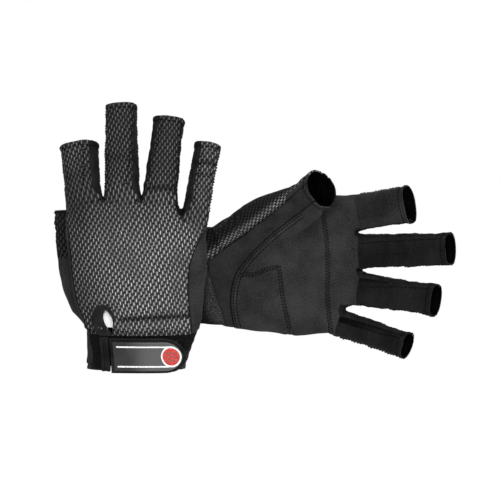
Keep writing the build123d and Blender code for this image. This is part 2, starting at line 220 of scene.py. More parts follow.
def smooth_rows(rows, at):
    """Cubic interpolation of a table's columns at values of its first column."""
    table = np.array(rows, float)
    x, y = table[:, 0], table[:, 1:]
    slope = np.gradient(y, x, axis=0)
    at = np.clip(at, x[0], x[-1])
    i = np.clip(np.searchsorted(x, at, side="right") - 1, 0, len(x) - 2)
    h = (x[i + 1] - x[i])[:, None]
    t = ((at - x[i])[:, None]) / h
    first = (1 + 2 * t) * (1 - t) ** 2 * y[i] + t * (1 - t) ** 2 * h * slope[i]
    return first + t**2 * (3 - 2 * t) * y[i + 1] + t**2 * (t - 1) * h * slope[i + 1]


def lumps(points, scale, seed):
    """Smooth noise, one value per point."""
    return np.array([noise.noise(Vector(p) / scale + Vector((seed, 0, 7.3))) for p in points])


def sections(glove):
    """Rows of V, U low, U high, back, palm and lift, from the cuff's end to the front of the hand."""
    rows = []
    for (v, u_low, u_high), (half, shift) in zip(CUFF_U, glove["cuff"]):
        rows.append([v, u_low, u_high, half, half, shift])
    rows += [[*row, 0.0] for row in HAND_SECTIONS]
    for row, (low, high) in zip(rows, glove["fold"]):
        row[1] += low
        row[2] += high
    return rows


def oval(rows, angles, exponent=2.5):
    """Superellipse points U, W for rows of U low, U high, back, palm and lift."""
    middle = (rows[:, 0] + rows[:, 1])[:, None] / 2
    half = (rows[:, 1] - rows[:, 0])[:, None] / 2
    c, s = np.cos(angles)[None, :], np.sin(angles)[None, :]
    u = middle + half * np.sign(c) * np.abs(c) ** (2 / exponent)
    lift = np.where(s > 0, rows[:, 2:3], -rows[:, 3:4]) * np.abs(s) ** (2 / exponent)
    return u, rows[:, 4:5] + lift


# ---- the soft form ------------------------------------------------------------------------------
def tube(rings):
    """Closed mesh through rings of equal length: vertices and faces."""
    count, around = rings.shape[:2]
    verts = [tuple(p) for p in rings.reshape(-1, 3)]
    faces = []
    for i in range(count - 1):
        for j in range(around):
            k = (j + 1) % around
            faces.append((i * around + j, i * around + k, (i + 1) * around + k, (i + 1) * around + j))
    for end, ring in ((0, rings[0]), (count - 1, rings[-1])):
        verts.append(tuple(ring.mean(axis=0)))
        centre = len(verts) - 1
        for j in range(around):
            k = (j + 1) % around
            trio = (end * around + k, end * around + j, centre)
            faces.append(trio if end == 0 else trio[::-1])
    return verts, faces


def hand_tube(glove):
    v = np.concatenate([np.linspace(CUFF_END - 5, FRONT, 70), np.linspace(FRONT + 1, FRONT + 6, 6)])
    rows = smooth_rows(sections(glove), np.clip(v, CUFF_END, FRONT))
    close = np.sqrt(np.clip(1 - ((v - FRONT) / 7.0).clip(0) ** 2, 0.02, 1))[:, None]
    rows[:, 2:4] *= close
    angles = np.linspace(0, 2 * pi, 96, endpoint=False)
    u, w = oval(rows, angles)
    long = np.repeat(v[:, None], len(angles), axis=1)
    reach = 1 - (FRONT - LITTLE_FRONT) / (FRONT - 55) * smoothstep(26, 33, u)
    long = np.where(long > 55, 55 + (long - 55) * reach, long)
    return tube(np.stack([u, long, w], axis=2))


def finger_axes(glove, name):
    """Origin, across, out of the back, along, of a finger's straight axis."""
    splay = radians(glove["splay"][name])
    curl = radians(glove["curl"])
    along = np.array([sin(splay) * cos(curl), cos(splay) * cos(curl), -sin(curl)])
    across = np.array([cos(splay), -sin(splay), 0.0])
    (u, v), *_ = FINGERS[name]
    return np.array([u, v, -WEB_DROP]), across, np.cross(-along, across), along


def axis_drop(glove, s):
    """How far the folded finger's middle lies to the palm side of its straight axis."""
    k = tan(radians(glove["curl"])) / (4 * BEND)
    inside = k * (BEND - s) ** 2
    behind = k * 4 * BEND**2 + tan(radians(glove["curl"])) * (-BEND - s)
    return np.where(s > BEND, 0.0, np.where(s > -BEND, inside, behind))


def finger_tube(glove, name):
    _, length, widths, depths, _ = FINGERS[name]
    origin, across, up, along = finger_axes(glove, name)
    s = np.linspace(-24, length + 5, 64)
    share = np.clip(s / length, 0, 1)
    half_w = (widths[0] + (widths[1] - widths[0]) * share) / 2
    half_d = (depths[0] + (depths[1] - depths[0]) * share) / 2
    half_w = half_w * (1 + 0.035 * smoothstep(length - 12, length, s) - 0.02 * bump(s - length * 0.5, 14))
    shrink = smoothstep(-26, -6, s) * 0.35 + 0.65
    angles = np.linspace(0, 2 * pi, 48, endpoint=False)
    c, si = np.cos(angles), np.sin(angles)
    power = 2 / np.where(si > 0, 2.25, glove["palm_flat"])
    x = (half_w * shrink)[:, None] * (np.sign(c) * np.abs(c) ** power)[None, :]
    flat = np.where(si > 0, 1.0, 0.93)
    y = (half_d * shrink)[:, None] * (flat * np.sign(si) * np.abs(si) ** power)[None, :]
    y = y - axis_drop(glove, s)[:, None]
    points = origin + x[..., None] * across + y[..., None] * up + s[:, None, None] * along
    return tube(points)


def thumb_path(glove, count=40, past=5.0):
    """Centre, across, up, along, half width and half depth along the thumb."""
    rows = glove["thumb"]
    points = np.array([row[0] for row in rows])
    steps = np.linalg.norm(np.diff(points, axis=0), axis=1)
    d = np.concatenate([[0], np.cumsum(steps)])
    table = np.column_stack([d, points, [row[1] for row in rows], [row[2] for row in rows]])
    s = np.linspace(0, d[-1], count)
    values = smooth_rows(table, s)
    along = np.gradient(values[:, :3], s, axis=0)
    along /= np.linalg.norm(along, axis=1)[:, None]
    tip = values[-1].copy()
    tip[:3] += along[-1] * past
    values = np.vstack([values, tip])
    along = np.vstack([along, along[-1]])
    s = np.append(s, d[-1] + past)
    across = np.cross(along, [0, 0, 1.0])
    across /= np.linalg.norm(across, axis=1)[:, None]
    up = np.cross(across, along)
    return s, values[:, :3], across, up, along, values[:, 3], values[:, 4], d


def thumb_tube(glove):
    s, centre, across, up, _, half_w, half_d, d = thumb_path(glove)
    flare = 1 + glove["flare"] * smoothstep(d[-1] - 22, d[-1], s)
    half_w, half_d = half_w * flare, half_d * flare
    angles = np.linspace(0, 2 * pi, 48, endpoint=False)
    root, root_w, root_d = glove["thumb_root"]
    centre = np.vstack([root, centre])
    half_w, half_d = np.append(root_w, half_w), np.append(root_d, half_d)
    across, up = np.vstack([across[:1], across]), np.vstack([up[:1], up])
    x = half_w[:, None] * np.cos(angles)[None, :]
    y = half_d[:, None] * np.sin(angles)[None, :]
    return tube(centre[:, None] + x[..., None] * across[:, None] + y[..., None] * up[:, None])


def web_tube(glove):
    """Fold of suede between the thumb and the root of the index finger."""
    t = np.linspace(0, 1, 18)
    fold = np.array([row[0] for row in glove["web"]])
    root = np.array([row[1] for row in glove["web"]])
    outer = smooth_rows(np.column_stack([[0, 0.4, 1.0], fold]), t)
    inner = smooth_rows(np.column_stack([[0, 0.4, 1.0], root]), t)
    middle, half = (outer + inner) / 2, (outer - inner) / 2
    travel = np.gradient(middle, axis=0)
    normal = np.cross(half, travel)
    normal /= np.linalg.norm(normal, axis=1)[:, None]
    angles = np.linspace(0, 2 * pi, 32, endpoint=False)
    thick = (5.0 - 2.0 * t)[:, None, None]
    ring = half[:, None] * np.cos(angles)[None, :, None]
    ring = ring + thick * normal[:, None] * np.sin(angles)[None, :, None]
    return tube(middle[:, None] + ring)


def fused(parts, voxel):
    """One smooth skin round several closed forms."""
    bm = bmesh.new()
    for verts, faces in parts:
        made = [bm.verts.new(v) for v in verts]
        for face in faces:
            bm.faces.new([made[i] for i in face])
    bmesh.ops.recalc_face_normals(bm, faces=bm.faces)
    mesh = bpy.data.meshes.new("raw")
    bm.to_mesh(mesh)
    bm.free()
    work = bpy.data.objects.new("raw", mesh)
    bpy.context.scene.collection.objects.link(work)
    remesh = work.modifiers.new("skin", "REMESH")
    remesh.mode = "VOXEL"
    remesh.voxel_size = voxel
    relax = work.modifiers.new("relax", "SMOOTH")
    relax.factor = 0.5
    relax.iterations = 12
    ready = work.evaluated_get(bpy.context.evaluated_depsgraph_get())
    result = bmesh.new()
    result.from_mesh(ready.to_mesh())
    ready.to_mesh_clear()
    bpy.data.objects.remove(work)
    bpy.data.meshes.remove(mesh)
    return result


# ---- fields over the skin -----------------------------------------------------------------------
def digit_coords(glove, name, p):
    """Across, up, along and squared reach from the axis, for points in the hand frame."""
    if name != "thumb":
        _, length, widths, depths, _ = FINGERS[name]
        origin, across, up, along = finger_axes(glove, name)
        q = p - origin
        s = q @ along
        x, y = q @ across, q @ up + axis_drop(glove, s)
        reach = (x / (widths[0] / 2)) ** 2 + (y / (depths[0] / 2)) ** 2
        return x, y, s, reach, length
    s_path, centre, across, up, along, half_w, half_d, d = thumb_path(glove)
    nearest = np.argmin(((p[:, None] - centre[None, :-1]) ** 2).sum(axis=2), axis=1)
    q = p - centre[nearest]
    x = (q * across[nearest]).sum(axis=1)
    y = (q * up[nearest]).sum(axis=1)
    s = s_path[nearest] + (q * along[nearest]).sum(axis=1)
    reach = (x / half_w[nearest]) ** 2 + (y / half_d[nearest]) ** 2
    return x, y, s, reach, d[-1]


def cut_at(glove, name):
    """Where a digit's own pieces begin, along its axis."""
    if name != "thumb":
        return FINGER_CUT
    points = np.array([row[0] for row in glove["thumb"]])
    return np.linalg.norm(np.diff(points[:3], axis=0), axis=1).sum() - 3.0


def split_along(bm, rest, values, near):
    """Cut faces where a field crosses zero, among the vertices marked near."""
    bm.verts.index_update()
    line = [v for v in bm.verts if near[v.index] and abs(values[v.index]) < SNAP]
    crossing = []
    for edge in bm.edges:
        a, b = edge.verts[0].index, edge.verts[1].index
        fa, fb = values[a], values[b]
        if near[a] and near[b] and fa * fb < 0 and min(abs(fa), abs(fb)) >= SNAP:
            crossing.append((edge, edge.verts[0], fa / (fa - fb)))
    for edge, vert, share in crossing:
        start = vert[rest].copy()
        other = edge.other_vert(vert)[rest].copy()
        _, made = bmesh.utils.edge_split(edge, vert, share)
        made[rest] = start.lerp(other, share)
        line.append(made)
    bmesh.ops.connect_verts(bm, verts=line, check_degenerate=True)


def rest_points(bm, rest):
    return np.array([v[rest] for v in bm.verts])


def positions(bm):
    return np.array([v.co for v in bm.verts])


def smooth_line(points, at):
    """Cubic curve through (x, y) points sorted by x, read at x."""
    return smooth_rows(points, np.asarray(at, float))[:, 0]


# U at V of the mesh back's edge on the little-finger side
MESH_EDGE = [(-5.0, 37.0), (7.0, 36.6), (21.7, 35.1), (34.8, 34.8), (52.7, 36.8), (62.0, 40.5), (72.7, 46.7),
             (84.0, 55.0)]


def mesh_field(p):
    """Positive on the mesh back, inside its seams along the little-finger side and beside the thumb."""
    ulnar = smooth_line(MESH_EDGE, p[:, 1]) - p[:, 0]
    thumb_side = smoothstep(0.0, -20.0, p[:, 0]) * smoothstep(92.0, 66.0, p[:, 1])
    edge = 1.2 * (p[:, 2] + 1.0 - 6.5 * thumb_side)
    return np.minimum(ulnar, edge)


THUMB_SEAM = ((-10.5, -2.0), (-53.5, 54.0))


def thumb_seam_place(p):
    """Distances along and away from the straight line of the thumb mesh's seam."""
    (u0, v0), (u1, v1) = THUMB_SEAM
    du, dv = u1 - u0, v1 - v0
    length = sqrt(du**2 + dv**2)
    u, v = p[:, 0] - u0, p[:, 1] - v0
    return (u * du + v * dv) / length, (v * du - u * dv) / length


def thumb_seam_field(p):
    """Distance to the palm-side seam of the thumb's mesh, positive on the thumb side."""
    return thumb_seam_place(p)[1] + 1.2 * bump(p[:, 1] - 30.0, 22.0)


def thumb_mesh_field(glove, p):
    """Positive on the mesh that runs from the wrist to the thumb."""
    above, beyond = glove["strip_top"] - p[:, 2], p[:, 1] - glove["strip_from"]
    return np.minimum.reduce([thumb_seam_field(p), above, beyond])


def wrist_field(p):
    """Distance beyond the wrist seam, which runs askew across the palm side."""
    slanted = np.clip(-9.3 + (p[:, 0] - 5.0) * 0.338, -23.0, 2.0)
    return p[:, 1] - slanted * smoothstep(3.0, -2.0, p[:, 2] - 2.5)


def vent_shape(v):
    """Middle and half width of the leaning, leaf-shaped vent."""
    half = np.interp(v, [-2.0, 1.5, 4.0, 7.0, 10.0, 13.0, 16.0, 17.8, VENT_TOP],
                     [0.3, 0.5, 1.7, 2.9, 3.5, 3.4, 2.3, 1.0, 0.0])
    return -21.0 - 0.19 * (v - 11.0), half


def vent_field(p):
    """Negative inside the vent, on the back of the wrist."""
    centre, half = vent_shape(p[:, 1])
    side = np.abs(p[:, 0] - centre) - half
    return np.where(p[:, 2] > 0, np.maximum(side, p[:, 1] - VENT_TOP), 9.0)


# lines across the palm, V at U, and one along it, U at V
PALM_EDGE = [(-62.0, 74.0), (-43.7, 61.9), (-31.2, 45.5), (-18.9, 30.6), (-6.3, 18.2), (4.9, 10.5),
             (18.9, 6.9), (31.5, 6.9), (43.4, 9.5), (60.0, 14.0)]
KNUCKLE_LINE = [(-60.0, 68.0), (-38.6, 70.6), (-27.3, 72.4), (0.0, 74.2), (18.9, 73.9), (42.0, 76.0),
                (60.0, 77.5)]
HEEL_LINE = [(-4.0, 39.5), (-1.5, 39.7), (7.5, 41.0), (19.2, 42.3), (37.3, 46.1), (60.0, 51.0)]
BRANCH_LINE = [(10.0, 9.0), (13.1, 6.3), (23.5, 4.9), (33.2, 1.1), (39.7, -0.2), (44.0, -1.0)]
SLIT_AT = -20.8


def slit_field(p):
    """Negative inside the wrist slit beside the strap's root."""
    return np.abs(p[:, 0] - SLIT_AT) - 0.5


def palm_seams(p):
    """Distances to the seams across the palm, large away from the palm side."""
    u, v, w = p[:, 0], p[:, 1], p[:, 2]
    far = np.where(w < -1.0, 0.0, 50.0)
    edge = np.abs(v - smooth_line(PALM_EDGE, u)) * 0.72 + far
    knuckle = np.abs(v - smooth_line(KNUCKLE_LINE, u)) + far
    heel = np.abs(v - smooth_line(HEEL_LINE, u)) + far + np.where(u > -2.0, 0, 50)
    branch = np.abs(u - smooth_line(BRANCH_LINE, v)) + far + np.where((v > 12) & (v < 40.5), 0, 50)
    return edge, knuckle, heel, branch


# Edge, at the web and at the tip, of each strip that shows because its finger lies rolled over
ROLLED = {
    "right": {("index", 1): (7.6, 7.1), ("middle", 1): (7.4, 4.6), ("ring", -1): (5.6, 7.4),
              ("little", -1): (8.0, 7.3)},
    "left": {("middle", -1): (-7.0, -6.0), ("ring", -1): (-7.8, -5.6), ("little", -1): (-7.6, -6.0)},
}


def strip_edges(side, name, sign, s):
    """Lower and upper edge of the strip along one side of a finger."""
    low, high = np.full(len(s), -STRIP), np.full(len(s), STRIP)
    shown = ROLLED[side].get((name, sign))
    if shown is not None:
        edge = np.interp(s, [0, FINGERS[name][1]], shown)
        low, high = (low, edge) if shown[0] > 0 else (edge, high)
    taper = smoothstep(-9.0, 1.0, s)
    return low * taper, high * taper


def in_strip(side, name, x, y, s):
    """True on the strips between a finger's back and palm."""
    if name == "thumb":
        return np.zeros(len(s), bool)
    found = np.zeros(len(s), bool)
    for sign, has_wall in zip((-1, 1), FINGERS[name][4]):
        if has_wall:
            low, high = strip_edges(side, name, sign, s)
            found |= (np.sign(x) == sign) & (y > low) & (y < high)
    return found


def side_seam(side, name, x, y, s):
    """Distance to the seams along a digit's sides."""
    seam = np.abs(y)
    if name == "thumb":
        return seam + 9.0
    for sign, has_wall in zip((-1, 1), FINGERS[name][4]):
        if has_wall:
            low, high = strip_edges(side, name, sign, s)
            seam = np.where(np.sign(x) == sign, np.minimum(np.abs(y - low), np.abs(y - high)), seam)
    return seam


def inside_digit(coords, start):
    _, _, s, reach, _ = coords
    return (s > start) & (reach < REACH)


# creases: digit, distance along it, depth, width, side (1 back, -1 palm)
CREASES = {
    "right": [("ring", 1.5, 1.1, 2.0, 1), ("little", 36.0, 1.0, 1.8, 1), ("little", 27.0, 0.6, 2.2, 1),
              ("middle", 24.0, 0.35, 3.0, 1), ("index", 12.0, 0.4, 3.0, 1)],
    "left": [("middle", 30.0, 1.2, 1.7, -1), ("middle", 4.0, 0.5, 0.9, -1), ("ring", 22.0, 0.7, 2.2, -1),
             ("ring", 2.0, 1.0, 2.6, -1), ("little", 1.5, 0.7, 1.2, -1), ("little", 20.0, 0.5, 2.6, -1),
             ("index", 2.5, 0.6, 2.4, -1)],
}


def owners(glove, p, before):
    """For each point, the digit that it lies on (or "") and how surely, fading in across the cut."""
    best = np.full(len(p), REACH)
    name_of = np.full(len(p), "", dtype=object)
    weight = np.zeros(len(p))
    for name in DIGITS:
        _, _, s, reach, _ = digit_coords(glove, name, p)
        start = cut_at(glove, name)
        here = (s > start - before) & (reach < best)
        best = np.where(here, reach, best)
        name_of[here] = name
        sure = smoothstep(start - before, start + before, s) * smoothstep(REACH, 1.6, reach)
        weight = np.where(here, sure, weight)
    return name_of, weight


def digit_relief(side, name, x, y, s, length):
    """Hem, seams, creases and soft folds of one digit."""
    seed = GLOVES[side]["seed"]
    around = np.column_stack([x, y, s])
    move = 0.4 * smoothstep(length - 3.0, length - 1.8, s) - 0.35 * bump(s - (length - 3.3), 0.8)
    move = move + 0.5 * lumps(around * np.array([1.0, 1.0, 2.0]), 9.0, seed + 5) * smoothstep(0, 8, s)
    if name != "thumb":
        seam = side_seam(side, name, x, y, s)
        ripple = 0.28 * np.sin(s * 2 * pi / 4.3 + 1.7 * np.sin(s * 0.9 + seed)) * bump(seam, 2.4)
        move = move + 0.35 * bump(seam - 1.3, 0.9) - 0.5 * bump(seam, 0.7) + ripple
        move = move - 0.5 * in_strip(side, name, x, y, s) * smoothstep(0, 1.6, seam)
    for digit, at, depth, width, face in CREASES[side]:
        if digit == name:
            slant = 0.10 * x + 1.4 * lumps(around, 7.0, seed + 9)
            off = s - at - slant
            shown = smoothstep(-2.0, 2.5, face * y)
            move = move + shown * depth * (0.45 * bump(off - 2.4 * width, 1.8 * width) - bump(off, width))
    return move


def back_relief(side, u, v, p):
    """Fold above the cuff, gathers, knuckles and the panel's edge on the back of the hand."""
    seed = GLOVES[side]["seed"]
    gather = 0.45 * np.sin(u * 2 * pi / 7.5 + 2.0 * np.sin(u * 0.21 + seed)) * smoothstep(14, 1, v)
    knuckles = 0.9 * np.cos((u + 11.0) * 2 * pi / 26.5) * bump(v - 86, 9.0)
    rim = np.abs(mesh_field(p))
    edge = 0.25 * bump(rim - 1.5, 0.9) - 0.4 * bump(rim, 0.8)
    if side == "left":
        return gather + 0.4 * knuckles + edge
    fold = -1.5 * bump(v - 12.0 - 0.05 * u, 2.3) * smoothstep(-16, -8, u) * smoothstep(28, 18, u)
    fold = fold + 0.8 * bump(v - 6.5 - 0.04 * u, 2.4) - 0.9 * bump(v - 2.2, 1.6)
    return gather + knuckles + edge + fold


def palm_relief(side, u, v, p):
    """Overlays, seam grooves, pads and crumples on the palm and the thumb."""
    seed = GLOVES[side]["seed"]
    edge, knuckle, heel, branch = palm_seams(p)
    move = 0.8 * smoothstep(-0.45, 0.45, (v - smooth_line(PALM_EDGE, u)) * 0.72)
    move = move - 0.5 * bump(edge, 0.55) - 0.3 * bump(edge - 2.6, 0.6)
    for seam in (knuckle, heel, branch):
        move = move - 0.35 * bump(seam - 1.15, 0.7) + 0.15 * bump(seam, 0.6) + 0.35 * bump(seam - 4.0, 2.6)
    strip = np.abs(thumb_mesh_field(GLOVES[side], p))
    move = move - 0.4 * bump(strip, 0.7) + 0.25 * bump(strip - 1.4, 0.8)
    pads = 1.3 * bump(np.hypot(u - 26, (v - 26) * 0.7), 20) + 1.0 * bump(np.hypot(u + 2, v - 80), 22)
    hollow = -3.2 * bump(np.hypot((u + 6) * 0.8, v - 54), 15)
    dent = -1.6 * bump(np.hypot(u - 33, (v - 63) * 1.3), 8)
    webs = -1.5 * bump(np.hypot(u - 3, v - 90), 5) - 1.2 * bump(np.hypot(u - 27, v - 86), 6)
    crumple = 1.8 * lumps(p * np.array([1.0, 0.8, 1.0]), 13.0, seed + 20)
    crumple = crumple * (0.55 + 0.6 * lumps(p, 40.0, seed + 21))
    ridge = p @ np.array([0.75, 0.6, 0.0])
    drag = 0.8 * np.sin(ridge * 2 * pi / 9.0 + 2.5 * lumps(p, 22.0, seed + 31))
    drag = drag * bump(np.hypot(u + 12, v - 74), 16)
    return move + pads + hollow + dent + webs + crumple + drag


def relief(side, p):
    """How far each point of the skin moves out along its normal, in millimetres."""
    glove = GLOVES[side]
    seed = glove["seed"]
    u, v = p[:, 0], p[:, 1]
    move = 0.75 * lumps(p, 26.0, seed) + 0.35 * lumps(p, 10.0, seed + 2)
    name_of, weight = owners(glove, p, 5.0)
    for name in DIGITS:
        mine = name_of == name
        x, y, s, _, length = digit_coords(glove, name, p[mine])
        move[mine] += weight[mine] * digit_relief(side, name, x, y, s, length)
    on_hand = np.where(name_of == "thumb", 1.0, 1 - weight)
    back = smoothstep(-2, 4, p[:, 2])
    beyond = wrist_field(p)
    panels_move = back * back_relief(side, u, v, p) + (1 - back) * palm_relief(side, u, v, p)
    cuff = 0.16 * np.cos(u * 2 * pi / 2.4) - 0.9 + 0.45 * smoothstep(CUFF_END + 3, CUFF_END + 1.5, v)
    hand = smoothstep(-0.8, 0.6, beyond)
    return move + on_hand * (hand * panels_move + (1 - hand) * cuff)


def skin(side):
    """The whole glove as one wrinkled skin, with the hand-frame place of each vertex kept."""
    glove = GLOVES[side]
    parts = [hand_tube(glove), thumb_tube(glove), web_tube(glove)]
    parts += [finger_tube(glove, name) for name in FINGERS]
    bm = fused(parts, VOXEL)
    rest = bm.verts.layers.float_vector.new("rest")
    bm.normal_update()
    p = positions(bm)
    normal = np.array([v.normal for v in bm.verts])
    moved = p + normal * relief(side, p)[:, None]
    for vert, place, shifted in zip(bm.verts, p, moved):
        vert[rest] = place
        vert.co = shifted
    return bm, rest


def face_centres(bm, rest):
    total = np.empty((len(bm.faces), 3))
    for i, face in enumerate(bm.faces):
        places = [v[rest] for v in face.verts]
        total[i] = sum(places, Vector()) / len(places)
    return total


def open_mouth(glove, name, cut, drop):
    """Cut one digit off at its length."""
    def beyond(p):
        _, y, s, _, length = digit_coords(glove, name, p)
        return s - length - (glove["mouth_slant"] * y if name != "thumb" else 0.0)

    def near_tip(p):
        coords = digit_coords(glove, name, p)
        return inside_digit(coords, coords[4] - 10)

    cut(beyond, near_tip)
    drop(lambda c: near_tip(c) & (beyond(c) > 0))


def cut_digit(side, name, cut):
    """Cut one digit from the hand and along its sides."""
    glove = GLOVES[side]
    start = cut_at(glove, name)

    def place(p):
        return digit_coords(glove, name, p)

    cut(lambda p: place(p)[2] - start, lambda p: inside_digit(place(p), start - 6))
    if name == "thumb":
        cut(lambda p: np.minimum(-place(p)[1], 4.0 - thumb_seam_field(p)),
            lambda p: inside_digit(place(p), start - 0.1))
        return
    for sign, has_wall in zip((-1, 1), FINGERS[name][4]):
        def on_side(p, back_to, sign=sign):
            coords = place(p)
            return inside_digit(coords, back_to) & (sign * coords[0] > 0.5)

        if not has_wall:
            cut(lambda p: place(p)[1], lambda p: on_side(p, start - 0.1))
            continue
        for edge in (0, 1):
            def strip_field(p, edge=edge, sign=sign):
                _, y, s, _, _ = place(p)
                return y - strip_edges(side, name, sign, s)[edge]

            cut(strip_field, lambda p: on_side(p, WEB_BACK - 3))
        cut(lambda p: place(p)[2] - WEB_BACK, lambda p: on_side(p, WEB_BACK - 4) & (place(p)[2] < 0))


def on_hand(glove, p):
    """True beyond the wrist and clear of the digits."""
    out = p[:, 1] > WRIST - 1
    for name in DIGITS:
        out &= ~inside_digit(digit_coords(glove, name, p), cut_at(glove, name) + 0.5)
    return out


def cut_back(glove, cut, drop):
    """Cut round both mesh panels, and open the vent and the slit beside the strap's root."""
    def beside_thumb(p):
        clear = ~inside_digit(digit_coords(glove, "thumb", p), cut_at(glove, "thumb") + 0.5)
        return clear & (p[:, 0] < 0) & (p[:, 2] < 6) & (p[:, 1] < 70)

    def round_vent(p):
        return (p[:, 2] > 0) & (p[:, 1] > CUFF_END) & (p[:, 1] < 22) & (np.abs(p[:, 0] + 23) < 14)

    cut(mesh_field, lambda p: on_hand(glove, p))
    cut(lambda p: thumb_mesh_field(glove, p), beside_thumb)
    cut(vent_field, round_vent)
    drop(lambda c: (vent_field(c) < 0) & (c[:, 1] > WRIST) & (c[:, 2] > 0))
    middle = max(glove["cuff"][1][1], 0.0)
    cut(slit_field, lambda p: (p[:, 2] > middle) & (p[:, 1] < 4) & (np.abs(p[:, 0] - SLIT_AT) < 4))
    drop(lambda c: (slit_field(c) < 0) & (c[:, 1] < WRIST + 1) & (c[:, 2] > middle))


def cut_palm(glove, cut):
    """Cut along the four seams of the palm."""
    def on_palm(p):
        return on_hand(glove, p) & (p[:, 2] < 3)

    def beyond(line):
        return lambda p: p[:, 1] - smooth_line(line, p[:, 0])

    cut(beyond(PALM_EDGE), lambda p: (p[:, 2] < 3) & (p[:, 1] > WRIST) & (p[:, 1] < 76))
    cut(beyond(KNUCKLE_LINE), on_palm)
    cut(beyond(HEEL_LINE), lambda p: on_palm(p) & (p[:, 0] > -2.5))
    cut(lambda p: p[:, 0] - smooth_line(BRANCH_LINE, p[:, 1]),
        lambda p: on_palm(p) & (p[:, 1] > 8) & (p[:, 1] < 42))


def cut_skin(side, bm, rest):
    """Open the mouths, the cuff and the vent, and cut the skin along every seam."""
    def cut(field, near):
        p = rest_points(bm, rest)
        split_along(bm, rest, field(p), near(p))

    def drop(test):
        gone = [face for face, out in zip(bm.faces, test(face_centres(bm, rest))) if out]
        bmesh.ops.delete(bm, geom=gone, context="FACES")

    for name in DIGITS:
        open_mouth(GLOVES[side], name, cut, drop)
    cut(lambda p: p[:, 1] - CUFF_END, lambda p: p[:, 1] < CUFF_END + 10)
    drop(lambda c: c[:, 1] < CUFF_END)
    cut(wrist_field, lambda p: p[:, 1] < 8)
    for name in DIGITS:
        cut_digit(side, name, cut)
    cut_back(GLOVES[side], cut, drop)
    cut_palm(GLOVES[side], cut)


def panel_of(side, c):
    """Body and panel name for each face centre."""
    glove = GLOVES[side]
    hand = f"{side}_hand"
    keys = np.full(len(c), "palm_panel", dtype=object)
    bodies = np.full(len(c), hand, dtype=object)
    u, v = c[:, 0], c[:, 1]
    above = v > smooth_line(PALM_EDGE, u)
    beyond = v > smooth_line(KNUCKLE_LINE, u)
    heel = (v < smooth_line(HEEL_LINE, u)) & (u > smooth_line(BRANCH_LINE, v)) & (u > -2.5)
    keys[above] = "palm_patch"
    keys[above & heel] = "heel_patch"
    keys[beyond & above] = "knuckle_patch"
    keys[mesh_field(c) > 0] = "back_panel"
    keys[wrist_field(c) < 0] = "cuff_band"
    keys[thumb_mesh_field(glove, c) > 0] = "thumb_strip"
    best = np.full(len(c), REACH)
    for name in DIGITS:
        x, y, s, reach, _ = digit_coords(glove, name, c)
        strip = in_strip(side, name, x, y, s)
        start = cut_at(glove, name)
        keys[(s > WEB_BACK) & (s < start) & (reach < REACH) & strip & (bodies == hand)] = "webs"
        mine = (s > start) & (reach < best)
        best = np.where(mine, reach, best)
        if name == "thumb":
            bodies[mine] = f"{side}_thumb"
            keys[mine] = np.where(above[mine], "thumb_web", "thumb_palm")
            keys[mine & ((y > 0) | (thumb_seam_field(c) > 4.0))] = "thumb_back"
            continue
        bodies[mine] = f"{side}_{name}_finger"
        keys[mine] = np.where(y[mine] > 0, f"{name}_back", f"{name}_palm")
        keys[mine & strip] = f"{name}_walls"
    return bodies, keys


def weave_place(glove, p, key):
    """Across and along distances that the mesh pattern and the knit follow."""
    if key == "thumb_strip" or (key == "thumb_back" and glove["strip_top"] > -5.0):
        across = thumb_seam_field(p) - 0.5 * p[:, 2] * (p[:, 2] > -14)
        return np.column_stack([across * 1.4, thumb_seam_place(p)[0] * 1.35, p[:, 2]])
    if key == "thumb_back":
        x, y, s, _, _ = digit_coords(glove, "thumb", p)
        return np.column_stack([x, s, y])
    place = p
    for name in FINGERS:
        x, y, s, reach, _ = digit_coords(glove, name, p)
        base = np.array(FINGERS[name][0])
        own = np.column_stack([base[0] + x * 1.08, base[1] + s * 0.93, y])
        weight = (smoothstep(-12, 6, s) * smoothstep(2.0, 1.2, reach))[:, None]
        place = place * (1 - weight) + own * weight
    lean = radians(WEAVE_LEAN)
    across = place[:, 0] * cos(lean) + place[:, 1] * sin(lean)
    along = place[:, 1] * cos(lean) - place[:, 0] * sin(lean)
    return np.column_stack([across, along, place[:, 2]])


# strength of the mesh's colour, where 1 is the middle of the back: painted shade on the fingers and the
# thumb's mesh, which turn away from the light; and the strength of the knit on the cuff's underside
FINGER_PAINTED_SHADE = {"index": 0.40, "middle": 0.30, "ring": 0.31, "little": 0.62}
THUMB_PAINTED_SHADE = {"right": 0.11, "left": 0.08}
UNDER_TONE = 0.16


